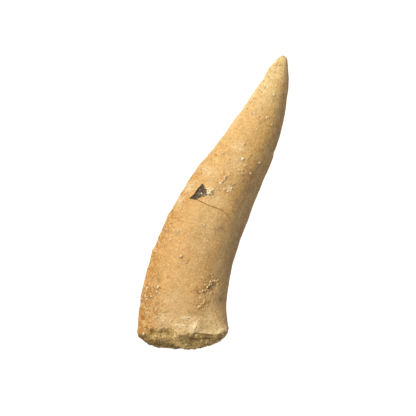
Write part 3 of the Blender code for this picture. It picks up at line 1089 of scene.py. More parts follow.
@dataclass
class SandGrains:
    """The sand stuck to the tooth, one joined mesh of small grains that sit in its surface."""

    seed: int = 19
    shapes: int = 5
    facets: int = 7
    facet_depth: float = 0.84  # how near the facets lie to a shape's middle
    facet_spread: Span = (0.8, 1.1)  # and what that is multiplied by
    stretch: tuple[Span, ...] = ((0.85, 1.45), (0.65, 1.05), (0.60, 0.95))  # a grain's size along each axis
    crease: float = math.radians(32.0)  # edges sharper than this stay sharp
    sink: float = -0.06  # share of its radius that a grain's middle stands over the surface
    crust_count: int = 850
    crust_radius: float = 0.105
    crust_size: Span = (0.5, 1.25)  # of that radius
    crust_sink: float = -0.35
    crust_tones: tuple[float, ...] = (0.14, 0.34, 0.50, 0.58, 0.62, 0.68, 0.74, 0.86)
    crust_level: float = 0.6  # where the break begins and the side ends, in the crust's mask
    side_level: float = 0.1
    bare_chalk: float = 0.75  # no grains where the break is paler than this
    shade_darkening: float = 0.9  # how much darker the painted shade makes them in the hollows and low on the break
    strays: Strewn = Strewn(260, (0.05, 0.09), (0.50, 0.85))
    edge_grains: Strewn = Strewn(200, (0.06, 0.13), (0.70, 0.97))
    edge_stain: float = 0.25  # those lie where the front edge is stained more than this
    crumbs: int = 3  # smaller grains stuck to each one that is listed
    crumb_size: Span = (0.40, 0.75)  # of that one's radius
    crumb_tones: Span = (0.55, 0.95)
    cluster_size: Span = (0.8, 1.4)  # of a cluster's radius
    pit_dirt: Grain = Grain(0.0, 0.0, 0.14, 0.44)  # the dirt that fills a pit
    splinter: Grain = Grain(0.0, 0.0, 0.125, 1.0)
    flat_sink: float = -0.45  # how deep both of these sit
    scratches: tuple[Scratch, ...] = rows(
        Scratch,
        ((0.05, 6.38), (1.36, 6.82), 13), ((-0.45, 4.90), (1.15, 5.32), 14),
    )
    placed: tuple[Grain, ...] = rows(
        Grain,
        # gritty lump beside the chip
        (-2.34, 26.62, 0.26, 0.95), (-2.14, 27.04, 0.25, 0.9), (-2.0, 26.7, 0.2, 0.85),
        (-3.2, 15.58, 0.24, 0.85),  # lone bump in the middle of the side
        (-3.46, 26.26, 0.15, 1.0),  # glint inside the chip
        # bright grains of the dark cluster
        (2.6, 12.73, 0.27, 0.95), (2.55, 13.28, 0.24, 0.85), (2.36, 12.32, 0.21, 0.85),
        (3.18, 13.64, 0.26, 0.8), (3.44, 13.52, 0.21, 0.8), (2.37, 14.42, 0.2, 0.75),
        (2.58, 14.12, 0.19, 0.7), (3.14, 12.48, 0.2, 0.75), (2.6, 11.86, 0.2, 0.8), (2.25, 11.66, 0.19, 0.8),
        (1.85, 11.5, 0.2, 0.75), (1.52, 11.2, 0.2, 0.75), (3.16, 11.57, 0.2, 0.7), (1.15, 13.5, 0.22, 0.7),
        (1.91, 12.5, 0.18, 0.7),
        # yellow grains under it
        (1.82, 10.3, 0.21, 0.75), (2.26, 9.02, 0.26, 0.8), (2.38, 9.41, 0.22, 0.65), (2.66, 9.64, 0.22, 0.6),
        (2.07, 8.88, 0.19, 0.65), (2.6, 10.02, 0.21, 0.6), (1.63, 9.28, 0.19, 0.6),
        # along the pitted patch
        (-6.79, 8.77, 0.26, 0.9), (-6.62, 7.4, 0.26, 0.85), (-5.7, 7.72, 0.22, 0.85),
        (-6.28, 7.06, 0.21, 0.8), (-7.05, 6.76, 0.26, 0.8), (-5.15, 9.6, 0.26, 0.8), (-5.62, 9.85, 0.2, 0.75),
        (-5.1, 8.77, 0.21, 0.75), (-4.29, 6.07, 0.21, 0.85),
        # over the lower half, the first two of them a pair
        (-1.29, 21.53, 0.24, 0.95), (-1.78, 21.55, 0.17, 0.75), (-5.03, 19.24, 0.21, 0.8),
        (-7.05, 18.86, 0.21, 0.8), (-5.78, 17.55, 0.21, 0.75), (-4.11, 17.75, 0.18, 0.75),
        (-6.45, 16.26, 0.19, 0.75), (-7.51, 14.82, 0.21, 0.75), (-2.14, 14.93, 0.18, 0.75),
        # over the upper half
        (0.56, 36.19, 0.2, 0.9), (-2.29, 33.62, 0.21, 0.85), (1.0, 33.72, 0.26, 1.0),
        (3.85, 34.02, 0.21, 0.85), (3.07, 31.9, 0.2, 0.8), (-0.34, 30.89, 0.2, 0.8),
        (-0.26, 30.48, 0.21, 0.85), (-0.51, 30.02, 0.22, 0.9), (-0.68, 29.62, 0.21, 0.9),
        (-0.86, 29.2, 0.19, 0.8), (-1.06, 28.8, 0.22, 0.95), (-1.18, 27.78, 0.21, 0.85),
        (-1.62, 27.97, 0.19, 0.8), (0.88, 28.66, 0.21, 0.95), (0.47, 29.37, 0.18, 0.75),
        (1.09, 29.41, 0.18, 0.75), (-0.1, 28.1, 0.18, 0.8), (0.5, 27.96, 0.18, 0.8),
        (2.06, 34.89, 0.17, 0.75), (1.8, 32.88, 0.19, 0.8), (1.1, 31.9, 0.16, 0.75), (1.6, 31.95, 0.16, 0.75),
        (1.88, 31.48, 0.18, 0.8),
        # near the tip
        (0.49, 41.58, 0.21, 1.0), (2.62, 45.42, 0.2, 0.95), (2.6, 41.46, 0.18, 0.9),
        (3.72, 40.67, 0.19, 0.85), (1.75, 39.12, 0.16, 0.75), (1.72, 50.75, 0.12, 0.8),
        (1.22, 50.52, 0.12, 0.8),
        # on the broken end
        (-4.89, 1.54, 0.21, 0.9), (4.32, 3.9, 0.2, 0.85), (1.15, 4.55, 0.22, 0.75), (2.65, 5.46, 0.19, 0.9),
    )
    clusters: tuple[Cluster, ...] = rows(
        Cluster,
        (2.9, 13.3, 0.5, 22, 0.123, (0.3, 0.85)), (2.5, 11.8, 0.55, 20, 0.123, (0.25, 0.8)),
        (1.5, 11.1, 0.35, 10, 0.112, (0.3, 0.75)), (2.3, 9.4, 0.55, 24, 0.134, (0.45, 0.75)),
        (-5.9, 7.6, 0.6, 16, 0.123, (0.3, 0.85)), (-5.3, 9.6, 0.5, 10, 0.123, (0.45, 0.85)),
        (-2.22, 26.84, 0.4, 34, 0.115, (0.78, 1.0)), (1.5, 31.7, 0.35, 10, 0.101, (0.55, 0.85)),
        (0.5, 28.5, 0.5, 16, 0.112, (0.6, 0.9)), (-4.1, 30.0, 0.6, 12, 0.101, (0.6, 0.8)),
        (1.4, 50.4, 0.45, 12, 0.09, (0.45, 0.8)),
    )

    def _model_shapes(self) -> list[tuple[Array, Array]]:
        """Models the few grain shapes that the rest are copies of: round lumps with facets worn on them.

        Returns:
            For each shape, its vertices at about unit size and its triangles.
        """
        chance, shapes = random.Random(self.seed), []
        for _ in range(self.shapes):
            deselect_all()
            bpy.ops.mesh.primitive_ico_sphere_add(subdivisions=2, radius=1.0)
            lump = bpy.context.object
            places = coordinates(lump)
            for _ in range(self.facets):
                facing = np.array([chance.gauss(0, 1) for _ in range(3)])
                facing /= np.linalg.norm(facing)
                depth = self.facet_depth * chance.uniform(*self.facet_spread)
                places -= np.outer(np.maximum(places @ facing - depth, 0.0), facing)
            sides = np.array([list(face.vertices) for face in lump.data.polygons])
            shapes.append((places, sides))
            bpy.data.objects.remove(lump, do_unlink=True)
        return shapes

    def build(self, tooth: Piece, fang: Fang, finish: Finish) -> Piece:
        """Seats every grain on the tooth and joins them.

        Args:
            tooth: the finished tooth, in the drawing's millimetres.
            fang: the form that it was built from.
            finish: the material of the grains.

        Returns:
            The joined mesh object, in the drawing's millimetres.
        """
        chance = random.Random(self.seed)
        seats = self._seats_by_hand(tooth, fang, chance) + self._scatter(tooth, fang, chance)
        shapes = self._model_shapes()
        places, faces, tones, start = [], [], [], 0
        for seat in seats:
            form, sides = chance.choice(shapes)
            axis = Vector((chance.gauss(0, 1), chance.gauss(0, 1), 1))
            turn = Matrix.Rotation(chance.uniform(0, math.tau), 3, axis)
            size = [chance.uniform(*reach) for reach in self.stretch]
            matrix = np.array(turn @ Matrix.Diagonal(Vector(size) * seat.radius))
            middle = np.array(seat.place + seat.normal * (seat.radius * seat.sink))
            places.append(form @ matrix.T + middle)
            faces.append(sides + start)
            tones.append(np.full(len(form), seat.tone))
            start += len(form)
        mesh = bpy.data.meshes.new("sand_grains")
        mesh.from_pydata(np.concatenate(places), [], np.concatenate(faces).tolist())
        grains = bpy.data.objects.new("sand_grains", mesh)
        bpy.context.scene.collection.objects.link(grains)
        mesh.materials.append(finish)
        paint(grains, Mask.TONE, np.concatenate(tones))
        activate(grains)
        bpy.ops.object.shade_smooth_by_angle(angle=self.crease)
        return grains

    def _seats_by_hand(self, tooth: Piece, fang: Fang, chance: random.Random) -> list[Seat]:
        """Finds the seats of the grains placed one by one, the pits' dirt, the splinters and the clusters.

        Args:
            tooth: the finished tooth.
            fang: the form that it was built from.
            chance: the source of random numbers.

        Returns:
            A seat for each grain.
        """
        grains = [(grain, self.sink) for grain in self.placed]
        for grain in self.placed:
            for _ in range(chance.randrange(self.crumbs + 1)):
                turn, tone = chance.uniform(0, math.tau), min(grain.tone, chance.uniform(*self.crumb_tones))
                x, y = grain.x + grain.radius * math.cos(turn), grain.y + grain.radius * math.sin(turn)
                grains.append((Grain(x, y, grain.radius * chance.uniform(*self.crumb_size), tone), self.sink))
        grains += [(replace(self.pit_dirt, x=pit.x, y=pit.y), self.flat_sink) for pit in fang.pits]
        for scratch in self.scratches:
            for x, y in np.linspace(scratch.start, scratch.end, scratch.count):
                grains.append((replace(self.splinter, x=float(x), y=float(y)), self.flat_sink))
        for cluster in self.clusters:
            for _ in range(cluster.count):
                x, y = chance.gauss(cluster.x, cluster.reach), chance.gauss(cluster.y, cluster.reach)
                radius = cluster.radius * chance.uniform(*self.cluster_size)
                grains.append((Grain(x, y, radius, chance.uniform(*cluster.tones)), self.sink))
        surface, seats = surface_of(tooth), []
        for grain, sink in grains:
            found = drop(surface, grain.x, grain.y)
            if found:
                seats.append(Seat(*found, grain.radius, grain.tone, sink))
        return seats

    def _scatter(self, tooth: Piece, fang: Fang, chance: random.Random) -> list[Seat]:
        """Spreads grains over the broken end, and a few over the rest.

        Args:
            tooth: the finished tooth.
            fang: the form that it was built from.
            chance: the source of random numbers.

        Returns:
            A seat for each grain.
        """
        order = np.lexsort(coordinates(tooth).T)  # the cuts leave the vertices in a new order on each run
        places, ways = coordinates(tooth)[order], normals(tooth)[order]
        rough, shade, chalk, ochre = (
            painted(tooth, mask)[order] for mask in (Mask.CRUST, Mask.SHADE, Mask.CHALK, Mask.OCHRE)
        )
        high = places[:, 2] > fang.rest_flat + 2 * self.crust_radius
        crust = np.flatnonzero((rough > self.crust_level) & high & (chalk < self.bare_chalk))
        side = (rough < self.side_level) & high
        stained = side & (ochre > self.edge_stain)

        def seat(index: int, radius: float, tone: float) -> Seat:
            """Seats a grain at one of the tooth's vertices."""
            return Seat(Vector(places[index]), Vector(ways[index]), radius, tone, self.crust_sink)

        seats = []
        for index in chance.sample(list(crust), self.crust_count):
            radius = self.crust_radius * chance.uniform(*self.crust_size)
            tone = chance.choice(self.crust_tones) * (1 - self.shade_darkening * shade[index])
            seats.append(seat(index, radius, tone))
        for strewn, where in ((self.strays, side), (self.edge_grains, stained)):
            for index in chance.sample(list(np.flatnonzero(where)), strewn.count):
                seats.append(seat(index, chance.uniform(*strewn.radii), chance.uniform(*strewn.tones)))
        return seats


@dataclass(frozen=True)
class Clouds:
    """A cloudy pattern: its largest clouds, its finer layers and their strength, its ramp and its stirring.

    Without a ramp its value runs mostly from 0.2 to 0.8.
    """

    grain: float
    detail: float = 3.0
    rough: float = 0.5
    ramp: Ramp | None = None
    stir: float = 0.0


class Graph:
    """Builds the node tree of one material. Lengths in it are millimetres."""

    def __init__(self, name: str, gloss: float = 0.5) -> None:
        """Starts a material with a Principled shader.

        Args:
            name: the material's name.
            gloss: how strongly its surface reflects, where 0.5 is what most stones do.
        """
        self.material = bpy.data.materials.new(name)
        self.material.use_nodes = True
        self.tree = self.material.node_tree
        self.shader = self.tree.nodes["Principled BSDF"]
        self.shader.inputs["Specular IOR Level"].default_value = gloss
        self.mm = self.scaled(self.add("TexCoord").outputs["Object"], (1 / MM,) * 3)

    def add(self, kind: str, **numbers: "float | Colour") -> bpy.types.Node:
        """Adds a node.

        Args:
            kind: which one, without the ShaderNode before its name.
            numbers: its fixed values, by the sockets' names with a line for a space.

        Returns:
            The node.
        """
        node = self.tree.nodes.new("ShaderNode" + kind)
        for name, number in numbers.items():
            node.inputs[name.replace("_", " ")].default_value = number
        return node

    def link(self, source: Socket, target: Socket) -> None:
        """Joins two sockets."""
        self.tree.links.new(source, target)

    def feed(self, socket: Socket, value: "Socket | float | Colour") -> None:
        """Gives a socket a value: another socket's output, a number or a colour."""
        if isinstance(value, Socket):
            self.link(value, socket)
        else:
            socket.default_value = (*value, 1.0) if isinstance(value, tuple) else value

    def scaled(self, vector: Socket, scale: Colour) -> Socket:
        """Stretches a pattern's coordinates."""
        mapping = self.add("Mapping", Scale=scale)
        self.link(vector, mapping.inputs["Vector"])
        return mapping.outputs["Vector"]

    def marked(self, mask: Mask, ramp: Ramp | None = None) -> Socket:
        """Reads a marking from the mesh, through a ramp where it has one."""
        node = self.add("Attribute")
        node.attribute_name = mask.value
        value = node.outputs["Vector" if mask is Mask.LAY else "Fac"]
        return self.spread(value, ramp) if ramp else value

    def clouds(self, kind: Clouds, vector: Socket | None = None) -> Socket:
        """Adds a cloudy pattern.

        Args:
            kind: the pattern.
            vector: its coordinates, where they aren't the object's own.

        Returns:
            Its value.
        """
        node = self.add("TexNoise", Scale=1 / kind.grain, Detail=kind.detail, Roughness=kind.rough)
        node.inputs["Distortion"].default_value = kind.stir
        self.link(vector or self.mm, node.inputs["Vector"])
        value = node.outputs["Fac"]
        return self.spread(value, kind.ramp) if kind.ramp else value

    def cells(self, grain: float, ramp: Ramp) -> Socket:
        """Scattered cells, by the distance from their middles."""
        node = self.add("TexVoronoi", Scale=1 / grain)
        self.link(self.mm, node.inputs["Vector"])
        return self.spread(node.outputs["Distance"], ramp)

    def spread(self, value: Socket, ramp: Ramp) -> Socket:
        """Takes a value through a ramp."""
        node = self.add("MapRange", From_Min=ramp.low, From_Max=ramp.high, To_Min=ramp.start, To_Max=ramp.end)
        node.interpolation_type = "SMOOTHSTEP"
        self.link(value, node.inputs["Value"])
        return node.outputs["Result"]

    def times(self, *values: Socket | float) -> Socket:
        """Multiplies values."""
        return self._chain("MULTIPLY", values)

    def plus(self, *values: Socket | float) -> Socket:
        """Adds values."""
        return self._chain("ADD", values)

    def _chain(self, operation: str, values: tuple[Socket | float, ...]) -> Socket:
        """Runs one operation of the Math node over several values.

        Args:
            operation: which one.
            values: sockets or numbers.

        Returns:
            The result.
        """
        result = values[0]
        for value in values[1:]:
            node = self.add("Math")
            node.operation = operation
            self.feed(node.inputs[0], result)
            self.feed(node.inputs[1], value)
            result = node.outputs[0]
        return result

    def blend(
        self, amount: Socket | float, under: "Socket | Colour", over: "Socket | Colour", way: str = "MIX"
    ) -> Socket:
        """Lays one colour over another.

        Args:
            amount: how much of the upper colour shows.
            under: the colour below.
            over: the colour above.
            way: how the two combine, as the Mix node names it.

        Returns:
            The blended colour.
        """
        node = self.add("Mix")
        node.data_type, node.blend_type = "RGBA", way
        for index, value in ((MIX_FACTOR, amount), (MIX_UNDER, under), (MIX_OVER, over)):
            self.feed(node.inputs[index], value)
        return node.outputs[MIX_RESULT]

    def brightness(self, colour: Socket, value: Socket) -> Socket:
        """Multiplies a colour by a number."""
        grey = self.add("CombineColor")
        for channel in grey.inputs:
            self.link(value, channel)
        return self.blend(1.0, colour, grey.outputs[0], "MULTIPLY")

    def bump(self, height: Socket, distance: float) -> None:
        """Roughens the shading, by a height from 0 to 1 over a distance in millimetres."""
        node = self.add("Bump", Distance=distance * MM)
        self.link(height, node.inputs["Height"])
        self.link(node.outputs["Normal"], self.shader.inputs["Normal"])

    def finish(self, colour: Socket, rough: Socket | float) -> Finish:
        """Closes the tree with its colour and roughness.

        Args:
            colour: the base colour.
            rough: the roughness.

        Returns:
            The material.
        """
        self.link(colour, self.shader.inputs["Base Color"])
        self.feed(self.shader.inputs["Roughness"], rough)
        return self.material


@dataclass(frozen=True)
class SandyCrust:
    """The sandy colour of the broken end."""

    sand: Colour = (0.76, 0.475, 0.135)
    pale: Colour = (1.00, 0.745, 0.320)
    brown: Colour = (0.46, 0.280, 0.130)
    # dark is the colour of the gaps between the grains, and of the painted shade in the hollows
    dark: Colour = (0.17, 0.085, 0.024)
    stain: Colour = (0.54, 0.220, 0.036)
    grains: Clouds = Clouds(0.40, 4.0, 0.65, Ramp(0.42, 0.64))
    chalky: Ramp = Ramp(0.50, 0.85, 0.0, 0.8)
    stained: float = 0.6
    smears: Clouds = Clouds(1.3, 4.0, 0.6, Ramp(0.50, 0.62, 0.0, 0.5))
    fine_light: Clouds = Clouds(0.27, 3.0, 0.6, Ramp(0.32, 0.68, 0.72, 1.28))
    broad_light: Clouds = Clouds(2.2, 3.0, 0.6, Ramp(0.32, 0.66, 0.78, 1.24))
    gaps: Clouds = Clouds(0.45, 4.0, 0.7, Ramp(0.50, 0.36, 0.0, 0.65))

    def colour(self, g: Graph) -> Socket:
        """Builds the colour in a material's graph."""
        colour = g.blend(g.clouds(self.grains), self.sand, self.pale)
        colour = g.blend(g.marked(Mask.CHALK, self.chalky), colour, self.pale)
        colour = g.blend(g.times(g.marked(Mask.OCHRE), self.stained), colour, self.stain)
        colour = g.blend(g.clouds(self.smears), colour, self.brown)
        for light in (self.fine_light, self.broad_light):
            colour = g.brightness(colour, g.clouds(light))
        return g.blend(g.clouds(self.gaps), colour, self.dark)


@dataclass(frozen=True)
class FossilEnamel:
    """Tan fossil enamel with its stains, tints and pits, the sandy crust of the broken end, and painted light
    and shade.
    """

    tan: Colour = (0.72, 0.430, 0.145)
    warm: Colour = (0.73, 0.400, 0.120)
    pale: Colour = (0.79, 0.475, 0.155)
    cream: Colour = (0.91, 0.665, 0.285)
    worn: Colour = (0.74, 0.475, 0.205)  # the back edge
    ochre: Colour = (0.54, 0.220, 0.036)
    chalk: Colour = (0.95, 0.745, 0.420)
    green: Colour = (0.56, 0.395, 0.150)
    brown: Colour = (0.36, 0.200, 0.105)
    pit: Colour = (0.22, 0.100, 0.028)
    speckle: Colour = (0.44, 0.220, 0.060)
    deeper: Colour = (0.87, 0.800, 0.690)  # what the darker and the lighter of its fine grain multiply it by
    lighter: Colour = (1.14, 1.180, 1.270)
    crust: SandyCrust = SandyCrust()
    gloss: float = 0.35

    # The ground: tan and warm, paler towards the tip and worn at the back.
    warmth: Clouds = Clouds(6.0, ramp=Ramp(0.35, 0.65))
    faded: Ramp = Ramp(0.0, 0.6)
    faded_clouds: Clouds = Clouds(4.0, ramp=Ramp(0.2, 0.6, 0.7, 1.0))
    creamy: Ramp = Ramp(0.6, 1.0, 0.0, 0.8)
    wear: Ramp = Ramp(0.0, 0.6, 0.0, 0.9)
    # The stains: an ochre web with cream between, and what breaks up the rest.
    tangle: Clouds = Clouds(0.9, 5.0, 0.68, stir=1.2)
    web: Ramp = Ramp(0.58, 0.43)
    between: Ramp = Ramp(0.56, 0.66, 0.0, 0.30)
    specks: Clouds = Clouds(0.4, 5.0, 0.65, Ramp(0.30, 0.52, 0.45))
    haze: Clouds = Clouds(1.0, 4.0, 0.5, Ramp(0.30, 0.60, 0.45))
    # The mottling.
    fine: Clouds = Clouds(0.30, 3.0, 0.6)
    fine_tint: Ramp = Ramp(0.3, 0.7)
    flecks: Clouds = Clouds(0.36, 3.0, 0.6)
    pale_flecks: Ramp = Ramp(0.60, 0.72, 0.0, 0.55)
    orange_flecks: Ramp = Ramp(0.40, 0.27, 0.0, 0.42)
    smudges: Clouds = Clouds(2.4, 5.0, 0.65, Ramp(0.54, 0.70, 0.0, 0.30), 0.6)
    light: Clouds = Clouds(1.3, 3.0, 0.55, Ramp(0.3, 0.7, 0.93, 1.07))
    # The grooves along the back, the pits and speckles, the crust's ragged border, and the painted shade in
    # the hollows.
    strands: Clouds = Clouds(0.32, 3.0, 0.6, Ramp(0.42, 0.66))
    strand_scale: Colour = (1.0, 1.0, 0.12)
    groove_tint: float = 0.14
    pit_clouds: Clouds = Clouds(1.1, 2.0, 0.5, Ramp(0.38, 0.52))
    pit_grain: float = 0.55
    pit_ramp: Ramp = Ramp(0.28, 0.10)
    pit_tint: float = 0.85
    speckles: Clouds = Clouds(0.42, 4.0, 0.65, Ramp(0.45, 0.33, 0.0, 0.65))
    border: Clouds = Clouds(0.9, 5.0, 0.65)
    border_waver: float = 0.9
    border_shift: float = -0.45
    border_ramp: Ramp = Ramp(0.35, 0.65)
    hollows: Clouds = Clouds(0.6, 4.0, 0.6, Ramp(0.3, 0.6, 0.54, 0.9))
    # how far the painted light brightens the colour
    painted_light_gain: Ramp = Ramp(0.0, 1.0, 1.0, 1.22)
    # The relief of the finish, with each part's share, and the roughness.
    relief: float = 0.10
    fine_relief: float = 0.8
    grit: Clouds = Clouds(0.28, 3.0, 0.6)
    grit_relief: float = 1.2
    groove_relief: float = -0.3
    pit_relief: float = -1.2
    dullness: Clouds = Clouds(0.8, 4.0, 0.5, Ramp(0.3, 0.7, 0.40, 0.58))
    crust_dullness: float = 0.35

    def material(self) -> Finish:
        """Builds the material.

        Returns:
            A material named after the record's slot.
        """
        g = Graph(SLOT, self.gloss)
        colour = g.blend(g.clouds(self.warmth), self.tan, self.warm)
        faded = g.times(g.marked(Mask.PALE, self.faded), g.clouds(self.faded_clouds))
        colour = g.blend(faded, colour, self.pale)
        colour = g.blend(g.marked(Mask.PALE, self.creamy), colour, self.cream)
        colour = g.blend(g.marked(Mask.BACK, self.wear), colour, self.worn)
        fine = g.clouds(self.fine)
        colour = self._mottle(g, self._stains(g, colour), fine)
        strands = g.clouds(self.strands, g.scaled(g.marked(Mask.LAY), self.strand_scale))
        grooves = g.times(strands, g.marked(Mask.BACK))
        colour = g.blend(g.times(grooves, self.groove_tint), colour, self.brown)
        colour, holes = self._pits(g, colour)
        waver = g.times(g.clouds(self.border), self.border_waver)
        crust = g.spread(g.plus(g.marked(Mask.CRUST), waver, self.border_shift), self.border_ramp)
        colour = g.blend(crust, colour, self.crust.colour(g))
        # painted shade in the hollows and low on the break, and the dirt in the pits
        colour = g.blend(g.times(g.marked(Mask.SHADE), g.clouds(self.hollows)), colour, self.crust.dark)
        # painted light
        colour = g.brightness(colour, g.marked(Mask.BRIGHT, self.painted_light_gain))
        relief = g.plus(
            g.times(fine, g.plus(g.marked(Mask.PITTED), self.fine_relief)),
            g.times(g.clouds(self.grit), crust, self.grit_relief),
            g.times(grooves, self.groove_relief),
            g.times(holes, self.pit_relief),
        )
        g.bump(relief, self.relief)
        return g.finish(colour, g.plus(g.times(crust, self.crust_dullness), g.clouds(self.dullness)))

    def _mottle(self, g: Graph, colour: Socket, fine: Socket) -> Socket:
        """Breaks the colour up: soft clouds, a fine grain, and pale and orange flecks.

        Args:
            g: the material's graph.
            colour: the even colour.
            fine: the pattern of the fine grain.

        Returns:
            The mottled colour.
        """
        flecks = g.clouds(self.flecks)
        colour = g.blend(g.spread(flecks, self.pale_flecks), colour, self.chalk)
        colour = g.blend(g.spread(flecks, self.orange_flecks), colour, self.ochre)
        colour = g.blend(g.clouds(self.smudges), colour, self.ochre)
        colour = g.brightness(colour, g.clouds(self.light))
        tint = g.blend(g.spread(fine, self.fine_tint), self.deeper, self.lighter)
        return g.blend(1.0, colour, tint, "MULTIPLY")

    def _stains(self, g: Graph, colour: Socket) -> Socket:
        """Lays the stains and tints on, each broken up by a pattern of its own.

        Args:
            g: the material's graph.
            colour: the clean colour.

        Returns:
            The stained colour.
        """
        tangle, haze = g.clouds(self.tangle), g.clouds(self.haze)
        for mask, tint, pattern in (
            (Mask.GREEN, self.green, haze),
            (Mask.OCHRE, self.ochre, g.spread(tangle, self.web)),
            (Mask.OCHRE, self.cream, g.spread(tangle, self.between)),
            (Mask.BROWN, self.brown, haze),
            (Mask.CHALK, self.chalk, g.clouds(self.specks)),
        ):
            colour = g.blend(g.times(g.marked(mask), pattern), colour, tint)
        return colour

    def _pits(self, g: Graph, colour: Socket) -> tuple[Socket, Socket]:
        """Sprinkles small dark pits where the surface is pitted.

        Args:
            g: the material's graph.
            colour: the colour without them.

        Returns:
            The colour with the pits, and how deep each place lies in one.
        """
        pitted = g.marked(Mask.PITTED)
        hole = g.times(g.cells(self.pit_grain, self.pit_ramp), pitted, g.clouds(self.pit_clouds))
        colour = g.blend(g.times(g.clouds(self.speckles), pitted), colour, self.speckle)
        return g.blend(g.times(hole, self.pit_tint), colour, self.pit), hole


@dataclass(frozen=True)
class BaredInside:
    """The dark grey-brown inside that the chip bares."""

    dark: Colour = (0.085, 0.052, 0.026)
    light: Colour = (0.36, 0.260, 0.150)
    streaks: Clouds = Clouds(0.7, 5.0, 0.7, Ramp(0.48, 0.66), 0.6)
    streak_scale: Colour = (1.0, 1.8, 1.0)
    grit: Clouds = Clouds(0.25, 4.0)
    relief: float = 0.05
    gloss: float = 0.2
    roughness: float = 0.45

    def material(self) -> Finish:
        """Builds the material: dark, with lighter streaks."""
        g = Graph("bared_inside", self.gloss)
        g.bump(g.clouds(self.grit), self.relief)
        streaks = g.clouds(self.streaks, g.scaled(g.mm, self.streak_scale))
        return g.finish(g.blend(streaks, self.dark, self.light), self.roughness)


@dataclass(frozen=True)
class CrackDirt:
    """The dirt in the hairline crack."""

    dark: Colour = (0.22, 0.120, 0.045)
    light: Colour = (0.38, 0.220, 0.090)
    clouds: Clouds = Clouds(0.4)
    roughness: float = 0.8

    def material(self) -> Finish:
        """Builds the material: dark brown, a little uneven."""
        g = Graph("crack_dirt")
        return g.finish(g.blend(g.clouds(self.clouds), self.dark, self.light), self.roughness)


@dataclass(frozen=True)
class Sand:
    """Quartz sand, from dark through yellow to nearly white."""

    gloss: float = 0.7
    roughness: float = 0.32
    light: Clouds = Clouds(0.12, 2.0, 0.5, Ramp(0.3, 0.7, 0.85, 1.10))
    tones: tuple[tuple[float, Colour], ...] = (
        (0.10, (0.17, 0.085, 0.025)),
        (0.40, (0.56, 0.300, 0.085)),
        (0.60, (0.84, 0.530, 0.190)),
        (0.80, (1.00, 0.730, 0.340)),
        (1.00, (1.00, 0.850, 0.550)),
    )

    def material(self) -> Finish:
        """Builds the material, which reads each grain's tone."""
        g = Graph("sand", self.gloss)
        ramp = g.add("ValToRGB")
        for place, _ in self.tones[2:]:  # a new ramp has two stops already
            ramp.color_ramp.elements.new(place)
        for element, (place, tone) in zip(ramp.color_ramp.elements, self.tones):
            element.position, element.color = place, (*tone, 1.0)
        g.link(g.marked(Mask.TONE), ramp.inputs["Fac"])
        return g.finish(g.brightness(ramp.outputs["Color"], g.clouds(self.light)), self.roughness)


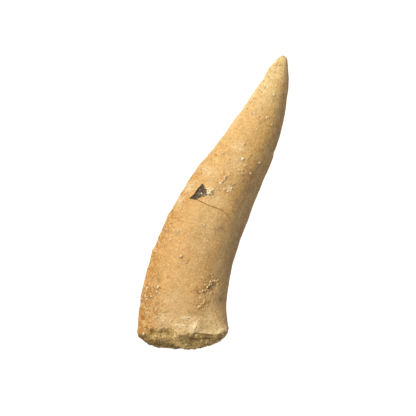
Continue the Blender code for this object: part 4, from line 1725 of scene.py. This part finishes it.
@dataclass
class Studio:
    """The pale floor, the soft lights and the camera over the tooth."""

    drawing: Drawing = field(default_factory=Drawing)
    photo_turn: float = math.radians(19.0)  # the photograph's upright, turned in the drawing
    eye: tuple[float, float, float] = (-1.6706, 24.3343, 232.3747)
    lens: float = 120.0
    clip_start: float = 0.01
    floor_reach: float = 0.6
    floor_tones: tuple[Colour, Colour] = ((0.90, 0.90, 0.90), (0.91, 0.91, 0.91))
    floor_clouds: Clouds = Clouds(40.0)
    floor_roughness: float = 0.9
    floor_light_height: float = 0.7
    floor_light_size: float = 0.9
    floor_power: float = 8.1
    aim_height: float = 0.005  # the key light points here, over the row frame's origin
    key_bearing: float = math.radians(137.0)  # from the photograph's right, counterclockwise
    key_rise: float = math.radians(43.0)  # how steeply it shines down
    key_distance: float = 0.19
    key_size: float = 0.30
    key_power: float = 0.66
    surround: float = 0.06

    def build(self, pieces: list[Piece]) -> None:
        """Adds the floor, the lights and the camera.

        Args:
            pieces: what the key light falls on.
        """
        floor = self._add_floor()
        self._add_key_light(pieces)
        self._add_floor_light(floor)
        self._set_surround()
        self._add_camera()
        bpy.context.scene.view_settings.view_transform = "Standard"

    def _add_floor(self) -> Piece:
        """Adds the plain pale floor."""
        deselect_all()
        bpy.ops.mesh.primitive_plane_add(size=2 * self.floor_reach)
        floor = bpy.context.object
        floor.name = "floor"
        graph = Graph("pale_floor")
        paper = graph.blend(graph.clouds(self.floor_clouds), *self.floor_tones)
        floor.data.materials.append(graph.finish(paper, self.floor_roughness))
        floor.visible_glossy = False
        return floor

    def _add_light(self, name: str, place: Vector, target: Vector, size: float, power: float) -> Piece:
        """Adds a square area light.

        Args:
            name: what it is called.
            place: where it stands.
            target: what it points at.
            size: its side.
            power: its power in watts.

        Returns:
            The light.
        """
        bpy.ops.object.light_add(type="AREA", location=place)
        light = bpy.context.object
        light.name = name
        light.rotation_euler = (place - target).to_track_quat("Z", "Y").to_euler()
        light.data.size = size
        light.data.energy = power
        return light

    def _lit(self, name: str, pieces: list[Piece]) -> bpy.types.Collection:
        """Gathers what a light falls on."""
        lit = bpy.data.collections.new(name)
        for piece in pieces:
            lit.objects.link(piece)
        return lit

    def _add_key_light(self, pieces: list[Piece]) -> None:
        """Adds the soft light that shines on the tooth from one side."""
        turned, flat = self.key_bearing + self.photo_turn, math.cos(self.key_rise)
        way = Vector((flat * math.cos(turned), flat * math.sin(turned), math.sin(self.key_rise)))
        target = Vector((0.0, 0.0, self.aim_height))
        place = target + way * self.key_distance
        light = self._add_light("key", place, target, self.key_size, self.key_power)
        light.light_linking.receiver_collection = self._lit("lit_by_key", pieces)

    def _add_floor_light(self, floor: Piece) -> None:
        """Adds the broad light that keeps the floor pale, in which nothing casts a shadow."""
        place, down = Vector((0.0, 0.0, self.floor_light_height)), Vector((0.0, 0.0, 0.0))
        light = self._add_light("floor_light", place, down, self.floor_light_size, self.floor_power)
        lit = self._lit("lit_by_floor_light", [floor])
        light.light_linking.receiver_collection = lit
        light.light_linking.blocker_collection = lit

    def _set_surround(self) -> None:
        """Lights everything evenly and faintly from all round."""
        world = bpy.data.worlds.new("surround")
        world.use_nodes = True
        background = world.node_tree.nodes["Background"]
        background.inputs["Color"].default_value = (1.0, 1.0, 1.0, 1.0)
        background.inputs["Strength"].default_value = self.surround
        bpy.context.scene.world = world

    def _add_camera(self) -> None:
        """Adds the camera, straight over the tooth and turned as the photograph is."""
        place = self.drawing.point(*self.eye)
        bpy.ops.object.camera_add(location=place, rotation=(0.0, 0.0, self.photo_turn))
        camera = bpy.context.object
        camera.data.lens = self.lens
        camera.data.clip_start = self.clip_start
        bpy.context.scene.camera = camera


def hand_over(piece: Piece, drawing: Drawing) -> None:
    """Brings a piece into the row frame and ties it to the CAD body.

    Args:
        piece: a finished mesh object, in the drawing's millimetres.
        drawing: where the drawing lies in the row frame.
    """
    drawing.place(piece)
    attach(piece, "root")
    triangles = sum(len(face.vertices) - 2 for face in piece.data.polygons)
    log.info("%s: %d triangles", piece.name, triangles)


def main() -> None:
    """Builds the tooth, its sand and the studio, in that order."""
    logging.basicConfig(level=logging.INFO, format="%(name)s: %(message)s")
    drawing, fang = Drawing(), Fang()
    tooth = fang.build()
    tooth.data.materials.append(FossilEnamel().material())
    surface = surface_of(tooth)
    cut(tooth, Crack().cutter(surface, CrackDirt().material()))
    cut(tooth, Chip().cutter(surface, BaredInside().material()))
    sand = SandGrains()
    Markings().paint(tooth, fang, sand.placed)
    grains = sand.build(tooth, fang, Sand().material())
    for piece in (tooth, grains):
        hand_over(piece, drawing)
    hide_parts(NODE)
    Studio(drawing).build([tooth, grains])


if __name__ == "__main__":
    main()
